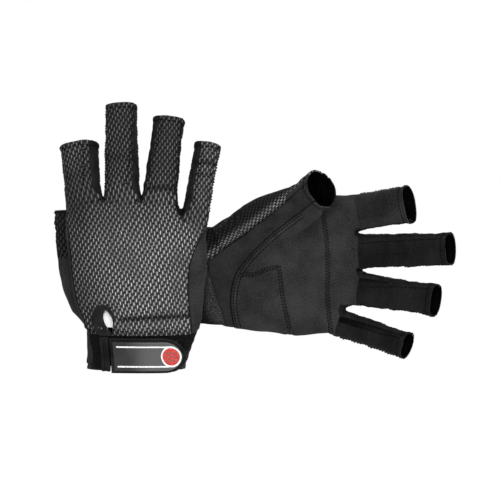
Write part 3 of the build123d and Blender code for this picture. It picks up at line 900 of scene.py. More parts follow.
def tone(side, p, key):
    """Painted shade on the mesh, as a share of its full colour: darker towards its sides and the knuckles, in
    the fold above the cuff, along the wrist seam, round the vent, in the creases and on the rolled fingers
    and thumb; a painted highlight along the left thumb's seam.
    """
    glove = GLOVES[side]
    if key in ("thumb_back", "thumb_strip"):
        # painted highlight: the left thumb's mesh grows lighter along its seam
        seam_highlight = 0.70 * bump(thumb_seam_field(p) - 3.0, 2.4) if side == "left" else np.zeros(len(p))
        return THUMB_PAINTED_SHADE[side] + seam_highlight
    u, v = p[:, 0], p[:, 1]
    # painted shade: darker towards both sides, towards the knuckles, in the fold above the cuff, along the
    # wrist seam and round the vent
    value = 1.0 - 0.55 * smoothstep(-8, -46, u) - 0.15 * smoothstep(20, 45, u)
    value = value * (1 - 0.35 * smoothstep(62, 90, v))
    value = value * (1 - 0.85 * bump(v - 12.5 - 0.05 * u, 2.0) * smoothstep(-17, -11, u))
    value = value * (1 - 0.5 * bump(v - 1.5, 1.6)) * (1 - 0.5 * bump(np.hypot(u + 27, v - 12), 11))
    for name in FINGERS:
        x, _, s, reach, _ = digit_coords(glove, name, p)
        share = smoothstep(-14, 14, s) * smoothstep(2.0, 1.2, reach)
        # painted shade on the fingers, darker still towards their sides as these turn away from the light
        rolled = FINGER_PAINTED_SHADE[name] * (1 - 0.45 * smoothstep(0.35, 0.95, np.abs(x) / 12.0))
        value = value * (1 - share) + rolled * share
    # painted shade in the creases
    for digit, at, depth, width, _ in CREASES[side]:
        x, _, s, reach, _ = digit_coords(glove, digit, p)
        line = bump(s - at - 0.10 * x, width * 1.1) * smoothstep(2.0, 1.4, reach)
        value = value * (1 - 0.7 * min(depth, 1.0) * line)
    return value


def seam_distance(side, p, key):
    """Distance to the nearest sewn line, for the shading of creases."""
    glove = GLOVES[side]
    name = key.split("_")[0]
    if name in FINGERS:
        x, y, s, _, length = digit_coords(glove, name, p)
        return np.minimum(side_seam(side, name, x, y, s), np.abs(length - s))
    edge, knuckle, heel, branch = palm_seams(p)
    double = np.minimum.reduce([knuckle, heel, branch]) * 0.5 + 0.45
    return np.minimum.reduce([edge, double, np.abs(mesh_field(p)) * 0.9,
                              np.abs(thumb_mesh_field(glove, p)), np.abs(wrist_field(p))])


# ---- material building ---------------------------------------------------------------------------
class Shade:
    """A small helper that adds and wires the nodes of one material."""

    def __init__(self, name, colour, roughness, **sockets):
        self.material = bpy.data.materials.new(name)
        self.material.use_nodes = True
        self.tree = self.material.node_tree
        self.shader = self.tree.nodes["Principled BSDF"]
        self.shader.inputs["Base Color"].default_value = (*colour, 1)
        self.shader.inputs["Roughness"].default_value = roughness
        for socket, value in sockets.items():
            self.shader.inputs[socket.replace("_", " ")].default_value = value

    def add(self, kind, **settings):
        node = self.tree.nodes.new(kind)
        for key, value in settings.items():
            setattr(node, key, value)
        return node

    def wire(self, source, target):
        self.tree.links.new(source, target)

    def attribute(self, name):
        return self.add("ShaderNodeAttribute", attribute_name=name)

    def parts(self, vector):
        node = self.add("ShaderNodeSeparateXYZ")
        self.wire(vector, node.inputs[0])
        return node.outputs["X"], node.outputs["Y"]

    def math(self, operation, *values):
        node = self.add("ShaderNodeMath", operation=operation)
        for socket, value in zip(node.inputs, values):
            if isinstance(value, (int, float)):
                socket.default_value = value
            else:
                self.wire(value, socket)
        return node.outputs[0]

    def noise(self, vector, scale, detail=2.0, rough=0.5):
        node = self.add("ShaderNodeTexNoise")
        self.wire(vector, node.inputs["Vector"])
        node.inputs["Scale"].default_value = scale
        node.inputs["Detail"].default_value = detail
        node.inputs["Roughness"].default_value = rough
        return node.outputs["Fac"]

    def ramp(self, value, low, high, first=0.0, last=1.0):
        node = self.add("ShaderNodeMapRange", interpolation_type="SMOOTHSTEP")
        self.wire(value, node.inputs["Value"])
        for key, number in (("From Min", low), ("From Max", high), ("To Min", first), ("To Max", last)):
            node.inputs[key].default_value = number
        return node.outputs["Result"]

    def mix(self, factor, first, second):
        node = self.add("ShaderNodeMix", data_type="RGBA")
        self.wire(factor, node.inputs["Factor"])
        for key, colour in (("A", first), ("B", second)):
            target = next(i for i in node.inputs if i.name == key and i.type == "RGBA")
            if isinstance(colour, tuple):
                target.default_value = (*colour, 1)
            else:
                self.wire(colour, target)
        return next(o for o in node.outputs if o.type == "RGBA")

    def scaled(self, colour, factor):
        node = self.add("ShaderNodeVectorMath", operation="SCALE")
        self.wire(colour, node.inputs[0])
        self.wire(factor, node.inputs["Scale"])
        return node.outputs[0]

    def colour(self, output):
        self.wire(output, self.shader.inputs["Base Color"])

    def roughness(self, output):
        self.wire(output, self.shader.inputs["Roughness"])

    def relief(self, height, distance, strength=1.0):
        node = self.add("ShaderNodeBump")
        node.inputs["Distance"].default_value = distance
        node.inputs["Strength"].default_value = strength
        self.wire(height, node.inputs["Height"])
        self.wire(node.outputs["Normal"], self.shader.inputs["Normal"])


def grey(level, tint=0.0):
    return (level, level, level * (1 + tint))


def mesh_material():
    """Printed mesh: staggered light grains on a dark knit."""
    shade = Shade("mesh_fabric", grey(0.02), 0.75, Specular_IOR_Level=0.10)
    place = shade.attribute("weave").outputs["Vector"]
    across, along = shade.parts(place)
    wobble = shade.noise(place, 0.06, 1.0)
    across = shade.math("ADD", across, shade.math("MULTIPLY", wobble, 3.0))
    half_across, half_along = PITCH_ACROSS / 2, PITCH_ALONG / 2

    def power(value, size, exponent):
        return shade.math("POWER", shade.math("ABSOLUTE", shade.math("DIVIDE", value, size)), exponent)

    def spots(shift_across, shift_along, size):
        a = shade.math("WRAP", shade.math("ADD", across, shift_across), half_across, -half_across)
        b = shade.math("WRAP", shade.math("ADD", along, shift_along), half_along, -half_along)
        a = shade.math("ADD", a, shade.math("MULTIPLY", b, GRAIN_LEAN))
        return shade.math("ADD", power(a, size[0], 2.0), power(b, size[1], 2.4))

    near = shade.math("MINIMUM", spots(0.0, 0.0, GRAIN), spots(half_across, half_along, GRAIN))
    holes = shade.math("MINIMUM", spots(half_across, 0.0, PIT), spots(0.0, half_along, PIT))
    grain = shade.ramp(near, 1.25, 0.55)
    pit = shade.ramp(holes, 1.3, 0.4)
    patchy = shade.ramp(shade.noise(place, 0.9, 2.0), 0.30, 0.70, 0.45, 1.0)
    broad = shade.ramp(shade.noise(place, 0.045, 2.0), 0.32, 0.62, 0.55, 1.0)
    strength = shade.math("MULTIPLY", shade.math("MULTIPLY", grain, patchy), broad)
    fine = shade.ramp(shade.noise(place, 3.4, 2.0), 0.35, 0.65)
    ground = shade.mix(fine, grey(0.018), grey(0.060))
    ground = shade.mix(pit, ground, grey(0.008))
    printed = shade.mix(strength, ground, grey(0.50))
    # the colour is scaled by the tone attribute, which holds the painted shade and highlight made by tone()
    shade.colour(shade.scaled(printed, shade.attribute("tone").outputs["Fac"]))
    height = shade.math("SUBTRACT", grain, shade.math("MULTIPLY", pit, 0.8))
    height = shade.math("ADD", height, shade.math("MULTIPLY", fine, 0.25))
    shade.relief(height, 0.0003, 0.9)
    return shade.material


def suede_material(name, dark, light, nap=1.0):
    """Matt synthetic suede with brushed patches, fine fibres, and darkening at the seams: painted shade in
    the creases and seam grooves, and at the overlay's edge partly its real black cut edge.
    """
    shade = Shade(name, grey(light), 0.95, Specular_IOR_Level=0.05, Sheen_Weight=0.04, Sheen_Roughness=0.5)
    place = shade.attribute("rest").outputs["Vector"]
    brushed = shade.ramp(shade.noise(place, 0.05, 2.0, 0.5), 0.25, 0.75)
    grainy = shade.ramp(shade.noise(place, 1.2, 3.0, 0.7), 0.35, 0.65)
    fibres = shade.noise(place, 5.5, 2.0, 0.7)
    tone = shade.math("ADD", shade.math("MULTIPLY", brushed, 0.5), shade.math("MULTIPLY", grainy, 0.5))
    colour = shade.mix(tone, grey(dark, 0.02), grey(light, 0.02))
    # painted shade at the seams: darker near sewn lines and panel edges, partly the overlay's real black cut
    # edge
    seam = shade.ramp(shade.attribute("seam").outputs["Fac"], 0.15, 1.0, 1.0, 0.0)
    shade.colour(shade.mix(seam, colour, grey(dark * 0.35)))
    height = shade.math("ADD", shade.math("MULTIPLY", fibres, nap), shade.math("MULTIPLY", grainy, 0.5 * nap))
    height = shade.math("SUBTRACT", height, shade.math("MULTIPLY", seam, 1.4))
    shade.relief(height, 0.00022, 0.8)
    return shade.material


def knit_material():
    """Elastic rib knit of the cuff."""
    shade = Shade("cuff_knit", grey(0.012), 0.9, Specular_IOR_Level=0.06)
    place = shade.attribute("weave").outputs["Vector"]
    across, along = shade.parts(place)
    rib = shade.math("PINGPONG", across, 0.6)
    row = shade.math("PINGPONG", shade.math("ADD", along, shade.math("MULTIPLY", rib, 0.7)), 0.45)
    speckle = shade.ramp(shade.noise(place, 1.5, 2.0), 0.40, 0.66)
    knit = shade.mix(speckle, grey(0.010), grey(0.060))
    shade.colour(shade.scaled(knit, shade.attribute("tone").outputs["Fac"]))
    shade.relief(shade.math("ADD", rib, row), 0.0004, 0.9)
    return shade.material


def smooth_cloth_material(name, dark, light, rough=0.8, specular=0.08):
    """Tight black stretch fabric, lining and binding tape."""
    shade = Shade(name, grey(light), rough, Specular_IOR_Level=specular)
    place = shade.attribute("rest").outputs["Vector"]
    weave = shade.add("ShaderNodeTexVoronoi", feature="F1")
    shade.wire(place, weave.inputs["Vector"])
    weave.inputs["Scale"].default_value = 2.6
    clouds_and_sheen = shade.ramp(shade.noise(place, 0.12, 3.0), 0.3, 0.7)
    shade.colour(shade.mix(clouds_and_sheen, grey(dark), grey(light)))
    shade.relief(weave.outputs["Distance"], 0.0002, 0.6)
    return shade.material


def thread_material():
    shade = Shade("thread", grey(0.002), 0.8, Specular_IOR_Level=0.02)
    place = shade.add("ShaderNodeTexCoord").outputs["Object"]
    twist = shade.noise(place, 2600.0, 1.0)
    shade.colour(shade.mix(twist, grey(0.001), grey(0.003)))
    shade.relief(twist, 0.0001, 0.6)
    return shade.material


def rubber_material(name, dark, light, rough):
    """Moulded soft plastic with a fine pebble, cloudy handling marks and a painted sheen that grows lighter
    towards its tip.
    """
    shade = Shade(name, grey(light), rough, Specular_IOR_Level=0.5)
    place = shade.attribute("rest").outputs["Vector"]
    clouds_and_sheen = shade.ramp(shade.noise(place, 0.05, 3.0), 0.3, 0.7)
    # painted sheen: lighter towards the tip, standing in for the lamps' reflection
    wear_and_sheen = shade.ramp(shade.parts(place)[0], -12.0, 10.0)
    pebble = shade.noise(place, 2.2, 2.0)
    # the colour is mostly this painted sheen, with a little of the cloudy marks
    clouds_and_sheen = shade.math("ADD", shade.math("MULTIPLY", clouds_and_sheen, 0.2), shade.math("MULTIPLY", wear_and_sheen, 0.8))
    shade.colour(shade.mix(clouds_and_sheen, grey(dark), grey(light)))
    shade.roughness(shade.ramp(clouds_and_sheen, 0.0, 1.0, rough - 0.06, rough + 0.08))
    shade.relief(pebble, 0.0001, 0.5)
    return shade.material


def print_material(name, first, second, rough=0.45):
    shade = Shade(name, second, rough, Specular_IOR_Level=0.45)
    place = shade.add("ShaderNodeTexCoord").outputs["Object"]
    wear_and_sheen = shade.ramp(shade.noise(place, 1.1 / MM, 4.0, 0.65), 0.35, 0.62)
    shade.colour(shade.mix(wear_and_sheen, first, second))
    shade.relief(wear_and_sheen, 0.00008, 0.5)
    return shade.material


MATERIALS = {
    "mesh": mesh_material(),
    "palm": suede_material("palm_suede", 0.003, 0.026),
    "overlay": suede_material("overlay_suede", 0.007, 0.034),
    "finger": suede_material("finger_suede", 0.001, 0.013),
    "knit": knit_material(),
    "walls": smooth_cloth_material("stretch_cloth", 0.004, 0.009),
    "lining": smooth_cloth_material("lining_cloth", 0.0008, 0.0016, 1.0, 0.0),
    "binding": smooth_cloth_material("binding_tape", 0.006, 0.014, 0.7),
    "webbing": smooth_cloth_material("strap_webbing", 0.006, 0.013, 0.75),
    "loop": suede_material("loop_pile", 0.006, 0.014, 2.0),
    "thread": thread_material(),
    "plate": rubber_material("strap_rubber", 0.012, 0.075, 0.42),
    "hooks": rubber_material("hook_plastic", 0.006, 0.012, 0.6),
    "white": print_material("white_print", grey(0.62), grey(0.86)),
    "red": print_material("red_print", (0.34, 0.022, 0.018), (0.60, 0.055, 0.045)),
    "wave": print_material("wave_print", (0.16, 0.05, 0.045), (0.30, 0.09, 0.08)),
    "label": print_material("woven_label", grey(0.80), grey(0.92), 0.8),
}

# material and slot of each panel; a finger's panels go by the last word of their names
PANELS = {
    "back_panel": ("mesh", "mesh"),
    "palm_panel": ("palm", "suede"),
    "palm_patch": ("overlay", "overlay"),
    "heel_patch": ("overlay", "overlay"),
    "knuckle_patch": ("overlay", "overlay"),
    "cuff_band": ("knit", "knit"),
    "webs": ("walls", "suede"),
    "thumb_back": ("mesh", "mesh"),
    "thumb_palm": ("palm", "suede"),
    "thumb_web": ("overlay", "suede"),
    "thumb_strip": ("mesh", "mesh"),
    "index_palm": ("palm", "suede"),
}
FINGER_PANELS = {"back": ("mesh", "mesh"), "palm": ("finger", "suede"), "walls": ("walls", "walls")}


# ---- making pieces -------------------------------------------------------------------------------
def link(name, verts, faces, materials):
    """A smooth-shaded object in the scene."""
    mesh = bpy.data.meshes.new(name)
    mesh.from_pydata([tuple(v) for v in verts], [], faces)
    mesh.update()
    piece = bpy.data.objects.new(name, mesh)
    bpy.context.scene.collection.objects.link(piece)
    for material in materials:
        mesh.materials.append(material)
    mesh.polygons.foreach_set("use_smooth", [True] * len(mesh.polygons))
    return piece


def give_points(piece, name, values):
    """Store one number or vector per vertex for the materials to read."""
    kind = "FLOAT_VECTOR" if values.ndim == 2 else "FLOAT"
    layer = piece.data.attributes.new(name, kind, "POINT")
    layer.data.foreach_set("vector" if values.ndim == 2 else "value", values.astype(np.float32).ravel())


def hang(piece, side, body):
    """Attach a piece of the hand or the strap to its body; a digit's piece only has its transform applied to
    its mesh.
    """
    hand = f"{side}_hand"
    if body == hand or body.endswith("strap"):
        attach(piece, body)
        return
    name = body[len(side) + 1:].replace("_finger", "")
    glove = GLOVES[side]
    if name == "thumb":
        s, centre, _, _, along, _, _, _ = thumb_path(glove)
    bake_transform(piece)


def panels(side, bm, rest, glove_turn):
    """One object per panel, from the faces of the cut skin."""
    glove = GLOVES[side]
    turn, shift = glove_turn
    flip = np.linalg.det(turn) < 0
    bm.verts.index_update()
    co = positions(bm)
    p = rest_points(bm, rest)
    centres = face_centres(bm, rest)
    bodies, keys = panel_of(side, centres)
    corners = [[v.index for v in face.verts] for face in bm.faces]
    made = {}
    for body, key in sorted(set(zip(bodies, keys))):
        chosen = np.nonzero((bodies == body) & (keys == key))[0]
        if len(chosen) < 12:
            continue
        used = sorted({i for f in chosen for i in corners[f]})
        index = {old: new for new, old in enumerate(used)}
        faces = [[index[i] for i in corners[f]] for f in chosen]
        if flip:
            faces = [face[::-1] for face in faces]
        world = (co[used] @ turn.T + shift) * MM
        look, slot = PANELS.get(key) or FINGER_PANELS[key.split("_")[1]]
        piece = link(f"{side}_{key}_cloth", world, faces, [MATERIALS[look], MATERIALS["lining"]])
        give_points(piece, "rest", p[used])
        give_points(piece, "weave", weave_place(glove, p[used], key))
        give_points(piece, "seam", seam_distance(side, p[used], key))
        # on the mesh, tone is painted shade and highlight, from tone()
        if look == "mesh":
            give_points(piece, "tone", tone(side, p[used], key))
        if look == "knit":
            give_points(piece, "tone", UNDER_TONE + (1 - UNDER_TONE) * smoothstep(2.0, -2.0, p[used, 2]))
        thick = piece.modifiers.new("thickness", "SOLIDIFY")
        thick.thickness = CLOTH * MM
        thick.offset = -1
        thick.use_even_offset = False
        thick.material_offset = 1
        thick.material_offset_rim = 0
        hang(piece, side, body)
        made[key] = piece
    return made


# ---- strap, binding and label --------------------------------------------------------------------
def cuff_top(glove, u, v, lift):
    """Points at a height above the back of the cuff or wrist."""
    def height(v):
        rows = smooth_rows(sections(glove), v)
        middle, half = (rows[:, 0] + rows[:, 1]) / 2, (rows[:, 1] - rows[:, 0]) / 2
        t = np.clip(np.abs(u - middle) / half, 0, 0.97)
        slope = -rows[:, 2] * t**1.5 * (1 - t**2.5) ** (1 / 2.5 - 1) * np.sign(u - middle) / half
        return rows[:, 4] + rows[:, 2] * (1 - t**2.5) ** (1 / 2.5), slope

    w, slope_u = height(v)
    slope_v = (height(v + 0.5)[0] - height(v - 0.5)[0])
    normal = np.stack([-slope_u, -slope_v, np.ones(len(u))], axis=1)
    normal /= np.linalg.norm(normal, axis=1)[:, None]
    return np.stack([u, v, w], axis=1) + normal * np.asarray(lift, float).reshape(-1, 1)


def ring_sheet(rings, closed):
    """Faces between rings of points; closed joins the last ring to the first."""
    count, around = rings.shape[:2]
    faces = []
    for i in range(count if closed else count - 1):
        for j in range(around):
            k, n = (j + 1) % around, (i + 1) % count
            faces.append((i * around + j, i * around + k, n * around + k, n * around + j))
    return [tuple(p) for p in rings.reshape(-1, 3)], faces


FAR_FROM_SEAM = 9.0
ALMOST = 0.01           # a flat piece's innermost loop stops this short of its middle line


def plate(side, name, body, loops, material, nodes, closed=False):
    """A thin piece that follows the back of the cuff: loops are (outline, height) pairs."""
    glove = GLOVES[side]
    turn, shift = settle(side)
    rings = np.array([cuff_top(glove, loop[:, 0], loop[:, 1], lift) for loop, lift in loops])
    verts, faces = ring_sheet(rings, closed)
    piece = link(f"{side}_{name}", [(turn @ np.array(v) + shift) * MM for v in verts], faces, [material])
    bm = bmesh.new()
    bm.from_mesh(piece.data)
    bmesh.ops.recalc_face_normals(bm, faces=bm.faces)
    bm.to_mesh(piece.data)
    bm.free()
    layout = [np.column_stack([loop, np.full(len(loop), lift)]) for loop, lift in loops]
    give_points(piece, "rest", np.vstack(layout))
    give_points(piece, "seam", np.full(len(verts), FAR_FROM_SEAM))
    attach(piece, f"{side}_{body}")
    if nodes:
        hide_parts(*[f"{side}_{node}" for node in nodes])
    return piece


def strap_loop(inset):
    """Outline of the strap: square at the root, half round at the tip."""
    low, high = STRAP_LOW + inset, STRAP_HIGH - inset
    middle, radius = (STRAP_LOW + STRAP_HIGH) / 2, (STRAP_HIGH - STRAP_LOW) / 2
    centre, root = STRAP_TIP - radius, STRAP_ROOT + inset
    t = np.linspace(0, 1, 44, endpoint=False)
    turn = np.linspace(-pi / 2, pi / 2, 30, endpoint=False)
    end = np.linspace(0, 1, 16, endpoint=False)
    bottom = np.column_stack([root + (centre - root) * t, np.full(44, low)])
    bend = radius - inset
    arc = np.column_stack([centre + bend * np.cos(turn), middle + bend * np.sin(turn)])
    top = np.column_stack([centre - (centre - root) * t, np.full(44, high)])
    back = np.column_stack([np.full(16, root), high - (high - low) * end])
    return np.vstack([bottom, arc, top, back])


def box_loop(u0, u1, v0, v1, inset):
    """Outline of a rectangle, moved inwards."""
    t = np.linspace(0, 1, 24, endpoint=False)
    u0, u1, v0, v1 = u0 + inset, u1 - inset, v0 + inset, v1 - inset
    corners = [(u0, v0), (u1, v0), (u1, v1), (u0, v1)]
    sides = []
    for (ua, va), (ub, vb) in zip(corners, corners[1:] + corners[:1]):
        sides.append(np.column_stack([ua + (ub - ua) * t, va + (vb - va) * t]))
    return np.vstack(sides)


def circle_loop(radius):
    """Oval round the emblem's middle."""
    turn = np.linspace(0, 2 * pi, 72, endpoint=False)
    (u, v), (wide, high) = EMBLEM_AT, EMBLEM_STRETCH
    return np.column_stack([u + wide * radius * np.cos(turn), v + high * radius * np.sin(turn)])


def pressed(loop_of, start, low, high, deepest, edge=0.35):
    """Loops of a flat piece with rounded edges, from the middle of its underside to that of its top."""
    inner = list(np.linspace(deepest, start + 2.2 * edge, 8))
    under = [(loop_of(d), low) for d in inner]
    rim = [(start + edge, low), (start, low + edge), (start, high - edge),
           (start + 0.3 * edge, high - 0.3 * edge), (start + edge, high)]
    return under + [(loop_of(d), h) for d, h in rim] + [(loop_of(d), high) for d in reversed(inner)]


def patch(area, low, high, edge):
    """Loops of a flat rectangle, given as U low, U high, V low, V high, between two heights."""
    u0, u1, v0, v1 = area
    deepest = min(u1 - u0, v1 - v0) / 2 - ALMOST
    return pressed(lambda inset: box_loop(*area, inset), 0.0, low, high, deepest, edge)


def strap(side):
    """Loop patch, root bar, and the hooked tab with its moulded face, lines, ring and emblem."""
    half = (STRAP_HIGH - STRAP_LOW) / 2 - ALMOST
    webbing = MATERIALS["webbing"]
    plate(side, "loop_pile", "hand", patch(LOOP_AREA, *LOOP, 0.2), MATERIALS["loop"], ["loop_patch"])
    plate(side, "hook_strip", "strap", patch(HOOK_AREA, *HOOK, 0.2), MATERIALS["hooks"], ["hook_pad"])
    bar_high = STRAP_ROOT - SLIT
    bar_low = bar_high - ROOT_BAR
    fold = patch((bar_low, bar_high, CUFF_END, STRAP_HIGH), 0.0, ROOT_TOP, 0.4)
    plate(side, "root_fold", "hand", fold, webbing, ["strap_root"])
    for index, (place, width, top) in enumerate(RIBS):
        low = bar_low + place
        rib = patch((low, low + width, CUFF_END + 0.2, STRAP_HIGH - 0.2 * index), RIB_FOOT, top, 0.35)
        plate(side, f"root_rib_{index}", "hand", rib, webbing, [])
    plate(side, "tab", "strap", pressed(strap_loop, 0.0, *TAB, half, 0.55), webbing, ["strap_tab"])
    plate(side, "face_plate", "strap", pressed(strap_loop, BORDER, TAB[1] - 0.2, FACE_TOP, half, 0.3),
          MATERIALS["plate"], ["strap_face"])
    for index, sign in enumerate((-1, 1)):
        middle = EMBLEM_AT[1] + sign * LINE_OFFSET
        area = (LINE_START, EMBLEM_AT[0], middle - LINE_HALF, middle + LINE_HALF)
        line = patch(area, PRINT_LOW, PRINT_TOP, 0.12)
        plate(side, f"line_{index}", "strap", line, MATERIALS["white"], ["strap_print"])
    ring = ((7.6, PRINT_LOW), (7.6, PRINT_TOP), (7.45, EMBLEM_TOP), (6.55, EMBLEM_TOP), (6.4, PRINT_TOP),
            (6.4, PRINT_LOW))
    plate(side, "ring", "strap", [(circle_loop(radius), height) for radius, height in ring],
          MATERIALS["white"], ["strap_print"], closed=True)
    disc = ((0.05, PRINT_LOW), (6.35, PRINT_LOW), (6.35, FACE_TOP + 0.12), (6.1, FACE_TOP + 0.12),
            (5.9, PRINT_TOP), (4.5, PRINT_TOP), (3.0, PRINT_TOP), (1.5, PRINT_TOP), (0.05, PRINT_TOP))
    plate(side, "disc", "strap", [(circle_loop(radius), height) for radius, height in disc],
          MATERIALS["red"], ["strap_emblem"])
    for index, offset in enumerate((-2.9, 0.0, 2.9)):
        plate(side, f"wave_{index}", "strap", wave(offset), MATERIALS["wave"], [])


def wave(offset):
    """A plain wavy ridge across the disc."""
    reach = 0.88 * sqrt(5.2**2 - offset**2)

    def loop(d):
        t = np.linspace(-reach + d, reach - d, 40)
        crest = 1.1 * offset + 0.75 * np.sin(t * 1.35 + 0.6)
        half = (0.62 - d) * np.sqrt(np.clip(1 - (t / (reach + 0.2)) ** 4, 0, 1))
        upper = np.column_stack([EMBLEM_AT[0] + t, EMBLEM_AT[1] + crest + half])
        lower = np.column_stack([EMBLEM_AT[0] + t, EMBLEM_AT[1] + crest - half])[::-1]
        return np.vstack([upper, lower])

    return [(loop(0.6), PRINT_TOP - 0.1), (loop(0.0), PRINT_TOP - 0.1), (loop(0.0), PRINT_TOP + 0.1),
            (loop(0.2), EMBLEM_TOP + 0.1), (loop(0.6), EMBLEM_TOP + 0.1)]


def vent_binding(side):
    """Folded tape round the vent, and the blank label that backs it."""
    t = np.linspace(0, 1, 48, endpoint=False)
    rise = VENT_TOP * (1 - np.cos(pi * np.concatenate([t, 1 - t]))) / 2
    rise = np.clip(rise, 0.3, VENT_TOP)
    sign = np.concatenate([np.ones(48), -np.ones(48)])
    middle, half = vent_shape(rise)
    hole = np.column_stack([middle + sign * half, rise])
    turn = pi * np.concatenate([t, 1 + t]) - pi / 2
    arch = np.column_stack([ARCH_AT[0] + ARCH_SIZE[0] * np.cos(turn) * (1 + 0.06 * np.sin(turn)),
                            ARCH_AT[1] + ARCH_SIZE[1] * np.sin(turn)])
    arch[:, 1] = np.clip(arch[:, 1], 0.3, None)
    # share of the way from the hole to the arch, and height
    profile = [(0.0, -1.4), (0.0, 0.4), (0.07, 1.0), (0.2, 1.1), (0.32, 0.75), (0.68, 0.75), (0.8, 1.15),
               (0.93, 1.05), (1.0, 0.4), (1.0, -0.6)]
    loops = [(hole * (1 - share) + arch * share, lift) for share, lift in profile]
    plate(side, "vent_tape", "hand", loops, MATERIALS["binding"], ["vent_binding"], closed=True)
    label = patch(LABEL_AREA, *LABEL, 0.15)
    plate(side, "blank_label", "hand", label, MATERIALS["label"], ["care_label"])


# ---- stitches ------------------------------------------------------------------------------------
def along_curve(points, pitch):
    """Points and directions at even steps along a polyline, skipping its gaps (rows of nan)."""
    kept = points[~np.isnan(points[:, 0])]
    if len(kept) < 3:
        return np.empty((0, 3)), np.empty((0, 3)), np.empty(0, int)
    index = np.nonzero(~np.isnan(points[:, 0]))[0]
    step = np.linalg.norm(np.diff(kept, axis=0), axis=1)
    far = np.concatenate([[0], np.cumsum(np.minimum(step, 8.0))])
    at = np.arange(pitch / 2, far[-1], pitch)
    i = np.clip(np.searchsorted(far, at) - 1, 0, len(kept) - 2)
    good = step[i] < 3.0
    at, i = at[good], i[good]
    share = ((at - far[i]) / step[i])[:, None]
    direction = (kept[i + 1] - kept[i]) / step[i][:, None]
    return kept[i] + (kept[i + 1] - kept[i]) * share, direction, index[i]


def cast(tree, origins, rays, least_drop):
    """Where rays meet the skin and its normals there, or rows of nan for a miss or too steep a face."""
    found = np.full((len(origins), 3), np.nan)
    normals = np.full((len(origins), 3), np.nan)
    for row, (origin, ray) in enumerate(zip(origins, rays)):
        hit, normal, _, _ = tree.ray_cast(Vector(origin), Vector(ray).normalized())
        if hit is not None and -normal.z > least_drop:
            found[row], normals[row] = hit, normal
    return found, normals


def palm_curve(tree, uv):
    """A line on the palm side, found by looking up at it from below."""
    origins = np.column_stack([uv, np.full(len(uv), -90.0)])
    return cast(tree, origins, [(0, 0, 1)] * len(uv), 0.25)


def digit_curve(tree, glove, name, s, x, y):
    """A line round or along a digit, found by looking outwards from its middle."""
    if name == "thumb":
        s_path, middle, across_rows, up_rows, *_ = thumb_path(glove)
        i = np.clip(np.searchsorted(s_path, s), 0, len(s_path) - 1)
        origins, across, up = middle[i], across_rows[i], up_rows[i]
    else:
        origin, across, up, along = finger_axes(glove, name)
        origins = origin + s[:, None] * along - axis_drop(glove, s)[:, None] * up
    return cast(tree, origins, x[:, None] * across + y[:, None] * up, -2.0)


def offset_line(line, shift):
    """A plane curve moved sideways."""
    direction = np.gradient(line, axis=0)
    direction /= np.linalg.norm(direction, axis=1)[:, None]
    return line + shift * np.column_stack([-direction[:, 1], direction[:, 0]])


def seam_rows(side, tree):
    """Body name, points and normals of every row of stitches on the skin."""
    glove = GLOVES[side]
    rows = []

    def palm_rows(line, shifts):
        for shift in shifts:
            rows.append(("hand", *palm_curve(tree, offset_line(line, shift))))

    def across_palm(table, first, last, shifts):
        u = np.linspace(first, last, 160)
        palm_rows(np.column_stack([u, smooth_line(table, u)]), shifts)

    double = (-DOUBLE_ROW, DOUBLE_ROW)
    across_palm(KNUCKLE_LINE, -40.5, 46.5, double)
    across_palm(HEEL_LINE, -1.0, 44.0, double)
    across_palm(PALM_EDGE, -38.0, 43.0, (1.5, 3.9))
    v = np.linspace(11.5, 39.0, 60)
    palm_rows(np.column_stack([smooth_line(BRANCH_LINE, v), v]), double)
    for name in DIGITS:
        length = digit_coords(glove, name, np.zeros((1, 3)))[4]
        body = f"{name}_finger" if name != "thumb" else "thumb"
        turn = np.linspace(0, 2 * pi, 100)
        slant = (glove["mouth_slant"] if name != "thumb" else 0.0) * 8.5 * np.sin(turn)
        hem = length - HEM_ROW + slant
        rows.append((body, *digit_curve(tree, glove, name, hem, np.cos(turn), np.sin(turn))))
        if name == "thumb":
            continue
        _, _, widths, depths, walls = FINGERS[name]
        s = np.linspace(3.0, length - 4.0, 70)
        for sign, has_wall in zip((-1, 1), walls):
            edges = strip_edges(side, name, sign, s) if has_wall else (np.zeros(len(s)),)
            for number, edge in enumerate(edges):
                away = 1.4 if number else -1.4
                height = np.clip((edge + away) / (depths[0] / 2 - 0.4), -0.98, 0.98)
                x = sign * np.sqrt(1 - height**2) * widths[0] / 2
                rows.append((body, *digit_curve(tree, glove, name, s, x, edge + away)))
    return rows


def stitch_mesh(points, directions, normals, length, radius):
    """Capsules lying along a seam, one for each point."""
    sides, rings = 6, ((-0.5, 0.35), (-0.38, 0.9), (0.0, 1.0), (0.38, 0.9), (0.5, 0.35))
    turn = np.linspace(0, 2 * pi, sides, endpoint=False)
    verts, faces = [], []
    for point, along, normal in zip(points, directions, normals):
        across = np.cross(along, normal)
        across /= np.linalg.norm(across)
        base = len(verts)
        for t, size in rings:
            arched = point + along * (t * length) + normal * (radius * (0.5 - 3.0 * t * t))
            for angle in turn:
                verts.append(arched + radius * size * (np.cos(angle) * across + np.sin(angle) * normal))
        for i in range(len(rings) - 1):
            for j in range(sides):
                k = (j + 1) % sides
                faces.append((base + i * sides + j, base + i * sides + k,
                              base + (i + 1) * sides + k, base + (i + 1) * sides + j))
        faces.append(tuple(base + j for j in reversed(range(sides))))
        faces.append(tuple(base + (len(rings) - 1) * sides + j for j in range(sides)))
    return verts, faces


